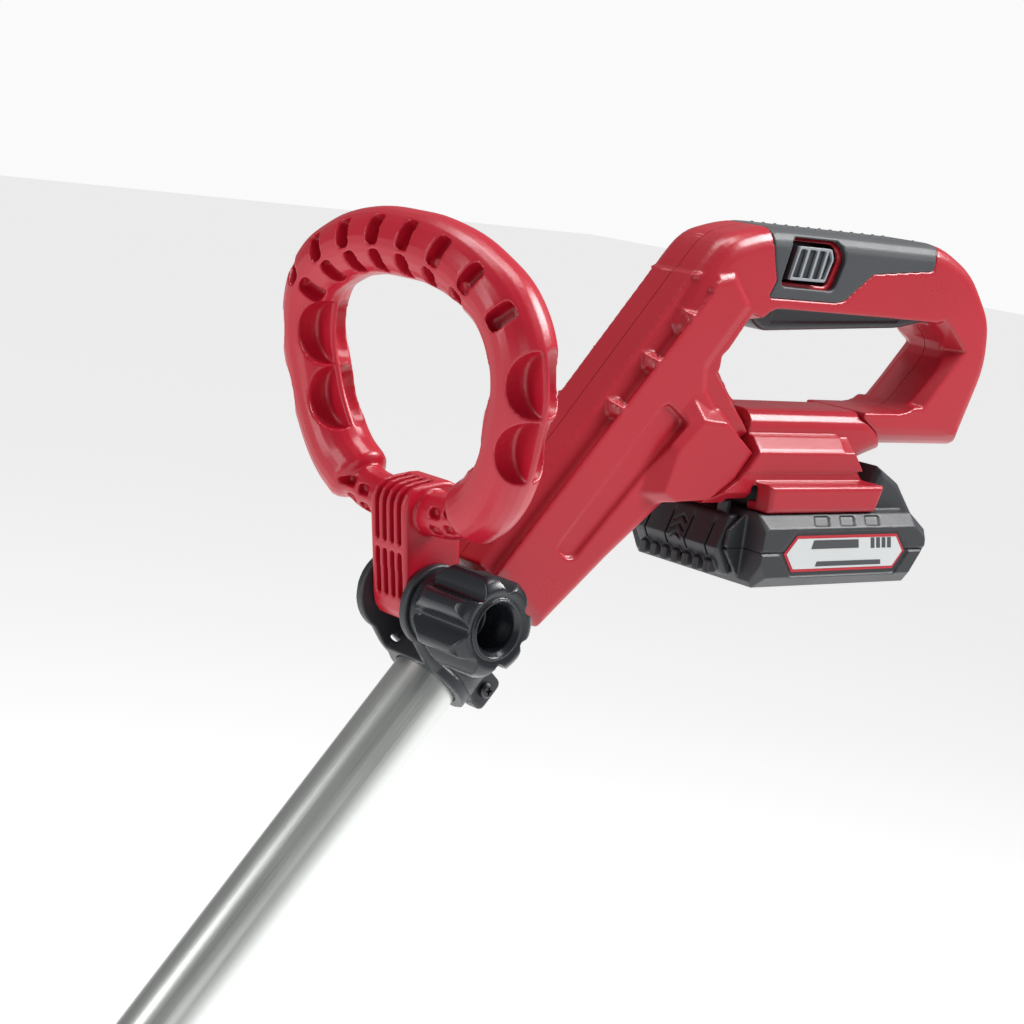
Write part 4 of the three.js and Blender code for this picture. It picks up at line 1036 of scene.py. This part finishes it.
buildKnob()
buildBracket()
buildTubes()
buildTwistLock()
print("knob, bracket and tubes made")

# ---- head: neck, motor housing, guard, spool and edge wire
neck = {"halfWidth": 14, "radius": 23, "socketRadius": 17, "high": 74, "pin": 5}
motorHousing = {
    "outer": [(0, 51.8), (42, 51.8), (43, 53), (43, 96), (39, 118), (27, 132), (0, 134)],
    "inner": [(0, 54.4), (40.4, 54.4), (40.4, 96), (36.4, 115.4), (24.4, 129.4), (0, 131.4)],
    "screws": [(-31, 66), (31, 66)],
    "vents": (74, 80, 86, 92),
}
guard = {
    "section": [
        (20, 48.5), (20, 51.5), (131, 51.5), (136.5, 50.8), (139.3, 48.6), (140, 45), (140, 15.2), (139, 14),
        (137.9, 14), (137.3, 15), (137.3, 44), (135.5, 47.4), (131, 48.5),
    ],
    "halfAngle": math.radians(98),
    "screws": [(26, -20), (26, 20)],
}
spool = {
    "cup": [
        (4.3, 45), (4.3, 33), (10, 33), (10, 42), (40, 42), (42.4, 37), (42.4, 15.3), (45, 15.3), (45, 37),
        (44.4, 40), (41, 45),
    ],
    "cap": [(18.5, 6), (39, 6, 1), (45, 11, 2), (45, 15), (40, 15), (40, 9.5), (18.5, 9.5)],
    "bump": [
        (0, 0), (13, 0), (15.4, 1.2), (16.7, 3), (17.8, 8), (17.8, 10.5), (10.4, 10.5), (10.4, 17.2),
        (0, 17.2),
    ],
}
wire = {"radius": 2, "reach": 150, "pivot": 68}
pivotPoint = Vector((10, 0, 140))  # the tilt pin, in millimetres up from the middle of the head's foot


def acrossPivot(radius, low, high, steps=64):
    return moved(rod(radius, low, high, steps), rightWards, Matrix.Translation(pivotPoint))


def buildNeck():
    radius, high = neck["socketRadius"], neck["high"]
    socket = turned([(0, 6), (13.6, 6), (13.6, 25.5), (radius, 31, 2), (radius, 44), (16.2, 45), (16.2, 47),
                     (radius, 48), (radius, 70, 2), (15, high, 1), (0, high)], 96)
    moved(socket, alongTubeTurn, Matrix.Translation(pivotPoint))
    bore = moved(rod(11.7, 27.5, 90, 64), alongTubeTurn, Matrix.Translation(pivotPoint))
    knuckle = acrossPivot(neck["radius"], -neck["halfWidth"], neck["halfWidth"], 96)
    teeth = [moved(block((neck["radius"] - 1, -9, -0.9), (neck["radius"] + 2, 9, 0.9)),
                   Matrix.Rotation(2 * math.pi * index / 26, 4, "Y"), Matrix.Translation(pivotPoint))
             for index in range(26)]
    piece = carve("tubeNeck", [knuckle, socket], [bore, acrossPivot(neck["pin"] + 0.3, -20, 20, 48), *teeth],
                  voxel=0.5, passes=2, thin=0.35)
    fit(piece, headPlace, "mouldedBlack", "shaft", "tube_neck", angle=60)
    button = turned([(0, -31), (6, -31, 0.5), (8.5, -29, 1), (8.5, -21.5), (0, -21.5)], 64)
    rings = [moved(sleeve(r, r + 0.9, -32, -30.2, 64)) for r in (2, 4)]
    button = moved(combine([button], rings), rightWards, Matrix.Translation(pivotPoint))
    fit(makeObject("tiltButton", button), headPlace, "headRed", "tilt_release", "tilt_button")


def buildMotorHousing():
    cheek = combine([acrossPivot(neck["radius"] + 1, -27, 27, 96)],
                    [block((-60, -14.3, 114.5), (90, 14.3, 240))])
    hollow = combine([turned(motorHousing["inner"], 96)], [acrossPivot(neck["radius"] + 4, -40, 40)])
    shell = turned(motorHousing["outer"], 128)
    rims = [sleeve(42, 44.2, z, z + 2.2, 128) for z in (55, 98)]
    ribs = []
    for index in range(24):
        angle = 2 * math.pi * (index + 0.5) / 24
        if abs(math.cos(angle)) > 0.55:
            rib = block((41, -1.1, 58), (43.9, 1.1, 97), 0.5)
            ribs.append(moved(rib, Matrix.Rotation(angle, 4, "Z")))
    cuts = [hollow, block((-60, -14.3, 114.5), (90, 14.3, 240)),
            acrossPivot(neck["radius"] + 0.3, -14.3, 14.3), acrossPivot(neck["pin"] + 0.3, -18, 27.5),
            acrossPivot(9, -40, -17.7), rod(15, 40, 60, 64),
            moved(rod(wire["radius"] + 0.5, -60, 60), rightWards, Matrix.Translation((0, 0, wire["pivot"])))]
    for side in (-1, 1):
        for z in motorHousing["vents"]:
            half = 17 - abs(z - 83) * 0.5
            low, high = sorted((side * 34, side * 60))
            cuts.append(block((-half, low, z - 1.3), (half, high, z + 1.3), 1.2))
    for x, z in motorHousing["screws"]:
        cuts.append(pinRight(3.7, 8.2, 60, x, z))
    for x, z in motorHousing["screws"]:
        boss = combine([pinRight(4.4, -27, 27, x, z)], [rod(41, 54, 96, 96)], "INTERSECT")
        hole = pinRight(1.9, -9.5, 40, x, z)
        ribs.append(combine([boss], [hole, pinRight(3.7, 8.2, 60, x, z)]))
    whole = combine([shell, *rims, cheek], cuts)
    case = carve("motorHousing", [whole, *ribs], voxel=0.65, passes=3, thin=0.35)
    left, right = halves(case, ("motorHousingLeft", "motorHousingRight"))
    fit(left, headPlace, "headRed", "head", "motor_housing_left", angle=60)
    fit(right, headPlace, "headRed", "head", "motor_housing_right", angle=60)
    for name, (x, z) in zip(("low", "rear"), motorHousing["screws"]):
        screw = moved(crossScrew(3.3, 2.2, 1.6, -17.5), rightWards, Matrix.Translation((x, 8.5, z)))
        fit(makeObject("headScrew" + name.capitalize(), screw), headPlace, "brightSteel", "head",
            "head_screw_" + name)


def buildGuard():
    half = guard["halfAngle"]
    wedge = [(0, 0)]
    for step in range(5):
        angle = half + (math.pi - half) * step / 4
        wedge.append((220 * math.cos(angle), 220 * math.sin(angle)))
    wedge += [(x, -z) for x, z in reversed(wedge[1:-1])]
    away = moved(slab(wedge, 60), leftWards)
    sheet = combine([turned(guard["section"], 192, closed=True)], [away])
    solids = [sheet, sleeve(16, 42, 48.5, 51.5, 128), sleeve(42.6, 44.6, 47.5, 53.5, 128)]
    for degrees in (*range(-84, 0, 14), *range(14, 85, 14)):
        rib = block((50, -1.1, 51), (134, 1.1, 52.7), 0.5)
        solids.append(moved(rib, Matrix.Rotation(math.radians(degrees), 4, "Z")))
    for degrees in (-60, -20, 20, 60):
        web = block((50, -1.2, 40.5), (138.5, 1.2, 49.5))
        solids.append(moved(web, Matrix.Rotation(math.radians(degrees), 4, "Z")))
    holes = [moved(rod(2, 40, 60), Matrix.Translation((x, y, 0))) for x, y in guard["screws"]]
    piece = carve("guardShell", solids, holes, voxel=0.8, passes=2, thin=0.35)
    fit(piece, headPlace, "guardBlack", "head", "guard", angle=60)
    for index, (x, y) in enumerate(guard["screws"], 1):
        screw = moved(crossScrew(3.4, 2.4, 1.6, -9.8), Matrix.Rotation(math.pi, 4, "X"),
                      Matrix.Translation((x, y, 48.2)))
        fit(makeObject(f"guardScrew{index}", screw), headPlace, "blackSteel", "head",
            f"guard_screw_{index}")


def buildSpool():
    beside = (7, 8, 22, 23)  # no grip rib over the line's eyelets
    grips = [rib for index, rib in enumerate(spokes(30, (43.4, -1.3, 19), (46.2, 1.3, 38), 0.8))
             if index not in beside]
    eyeletRooms = [moved(rod(3.3, 30, 60), turn, Matrix.Translation((0, 0, 26)))
                   for turn in (leftWards, rightWards)]
    vents = spokes(10, (16, -2, 38), (34, 2, 50), 1.5)
    cup = carve("spoolHousing", [turned(spool["cup"], 144, closed=True), *grips], [*eyeletRooms, *vents],
                voxel=0.6, passes=2, thin=0.4)
    fit(cup, headPlace, "mouldedBlack", "line_head", "spool_housing", angle=60)
    teeth = spokes(24, (27, -1.2, 4.6), (39, 1.2, 7), 0.6)
    cap = carve("spoolCap", [turned(spool["cap"], 144, closed=True), *teeth], voxel=0.55, passes=2, thin=0.4)
    fit(cap, headPlace, "mouldedBlack", "line_head", "spool_cap", angle=60)
    cuts = spokes(16, (13.4, -0.9, -1), (20, 0.9, 9))
    button = carve("bumpButton", [turned(spool["bump"], 96)], cuts, voxel=0.4, passes=2, thin=0.4)
    fit(button, headPlace, "headRed", "bump", "bump_button", angle=60)
    for index, turn in enumerate((leftWards, rightWards), 1):
        eyelet = turned([(1.5, 40.8), (3, 40.8), (3, 45.4), (4, 45.4), (4, 46.2), (3.6, 46.6), (2, 46.6),
                         (1.5, 46.2)], 48, closed=True)
        moved(eyelet, turn, Matrix.Translation((0, 0, 26)))
        fit(makeObject(f"lineEyelet{index}", eyelet), headPlace, "brightSteel", "line_head",
            f"line_eyelet_{index}")


def buildEdgeWire():
    pivot = wire["pivot"]
    side = [(0, 38.5, pivot), (0, 46, pivot), (0, 50, pivot), (-5, 54, pivot), (-22, 66, pivot - 2),
            (-46, 87, pivot - 14), (-60, 101, pivot - 32)]
    arc = []
    for index in range(9):
        angle = math.radians(118 + 124 * index / 8)
        arc.append((wire["reach"] * math.cos(angle), wire["reach"] * math.sin(angle) * 0.9, 26))
    path = [*side, *arc, *[(x, -y, z) for x, y, z in reversed(side)]]
    fit(makeObject("edgeWire", pipe(path, wire["radius"], sides=4, fineness=6)), headPlace,
        "brightSteel", "flip_guard", "edge_wire")


buildNeck()
buildMotorHousing()
buildGuard()
buildSpool()
buildEdgeWire()
print("head made")

# ---- everything carried over from the frame gets its finish
carried = {
    "mouldedBlack": ["terminal_block", "switch_body"],
    "loopRed": ["switch_plunger"],
    "leadBlack": ["switch_lead", "coiled_lead", "lower_lead"],
    "brightSteel": ["trigger_pin", "motor", "tilt_pin", "spindle", "line_cutter"],
    "springSteel": ["trigger_spring", "lock_off_spring", "latch_spring", "bump_spring"],
    "cellWrap": [f"battery_cell_{index}" for index in range(1, 6)],
    "headRed": ["spool"],
    "cuttingLine": ["wound_line"],
}
for finish, nodes in carried.items():
    for nodeName in nodes:
        node = frame["nodes"][nodeName]
        node.data.materials.clear()
        node.data.materials.append(paints[finish])
print("finishes on")

# ---- floor, light and camera
view = {
    "turn": math.radians(-43),
    "rise": math.radians(9.5),
    "roll": math.radians(8),
    "distance": 0.8425,
    "lens": 80.86,
    "knobRight": -0.0430,  # where the knob sits from the middle of the view, per metre of distance
    "knobUp": -0.0370,
}


def aimCamera():
    turn, rise, roll = view["turn"], view["rise"], view["roll"]
    back = Vector((math.sin(turn) * math.cos(rise), -math.cos(turn) * math.cos(rise), math.sin(rise)))
    level = Vector((math.cos(turn), math.sin(turn), 0))
    upright = back.cross(level)
    right = level * math.cos(roll) + upright * math.sin(roll)
    up = upright * math.cos(roll) - level * math.sin(roll)
    camera = bpy.data.objects.new("camera", bpy.data.cameras.new("camera"))
    camera.data.sensor_width = 36
    camera.data.lens = view["lens"]
    camera.data.clip_end = 40
    camera.matrix_world = Matrix((
        (right.x, up.x, back.x, 0), (right.y, up.y, back.y, 0), (right.z, up.z, back.z, 0), (0, 0, 0, 1),
    ))
    camera.location = knobAxis - (right * view["knobRight"] + up * view["knobUp"] - back) * view["distance"]
    bpy.context.collection.objects.link(camera)
    bpy.context.scene.camera = camera


def addLight(name, direction, distance, size, power, warmth=(1, 1, 1)):
    lamp = bpy.data.lights.new(name, "AREA")
    lamp.shape = "RECTANGLE"
    lamp.size, lamp.size_y = size
    lamp.energy = power
    lamp.color = warmth
    holder = bpy.data.objects.new(name, lamp)
    way = Vector(direction).normalized()
    holder.location = knobAxis + way * distance
    holder.rotation_euler = way.to_track_quat("Z", "Y").to_euler()
    bpy.context.collection.objects.link(holder)


def buildStage():
    bm = bmesh.new()
    bmesh.ops.create_grid(bm, x_segments=2, y_segments=2, size=14)
    floor = makeObject("floor", bm)
    paint, shader, place = startMaterial("floorPaint")
    dust = noise(place, 3, 3)
    link(shader, {"Base Color": blendColours(place, dust, (0.86, 0.86, 0.86), (0.89, 0.89, 0.89)),
                  "Roughness": dust * 0.1 + 0.75, "Emission Color": (1, 1, 1, 1), "Emission Strength": 0.62})
    floor.data.materials.append(paint)
    floor.location.z = -0.002
    world = bpy.data.worlds.new("studio")
    world.use_nodes = True
    tree = world.node_tree
    backdrop = tree.nodes["Background"]
    backdrop.inputs["Color"].default_value = (1, 1, 1, 1)
    seen = Wire(tree, tree.nodes.new("ShaderNodeLightPath").outputs["Is Camera Ray"])
    strength = seen * 0.72 + 0.24  # bright behind the tool, dimmer on it
    tree.links.new(strength.socket, backdrop.inputs["Strength"])
    bpy.context.scene.world = world


buildStage()
aimCamera()
bpy.context.scene.view_settings.view_transform = "Standard"
addLight("keyLight", (0.95, -0.55, 0.85), 1.5, (0.6, 0.6), 25)
addLight("topLight", (0.15, 0.1, 1.0), 1.3, (1.1, 0.4), 12)
addLight("leftLight", (-1.0, 0.25, 0.3), 1.5, (0.4, 1.3), 9)
addLight("fillLight", (-0.5, -1.0, 0.0), 1.8, (0.9, 0.9), 3.5)
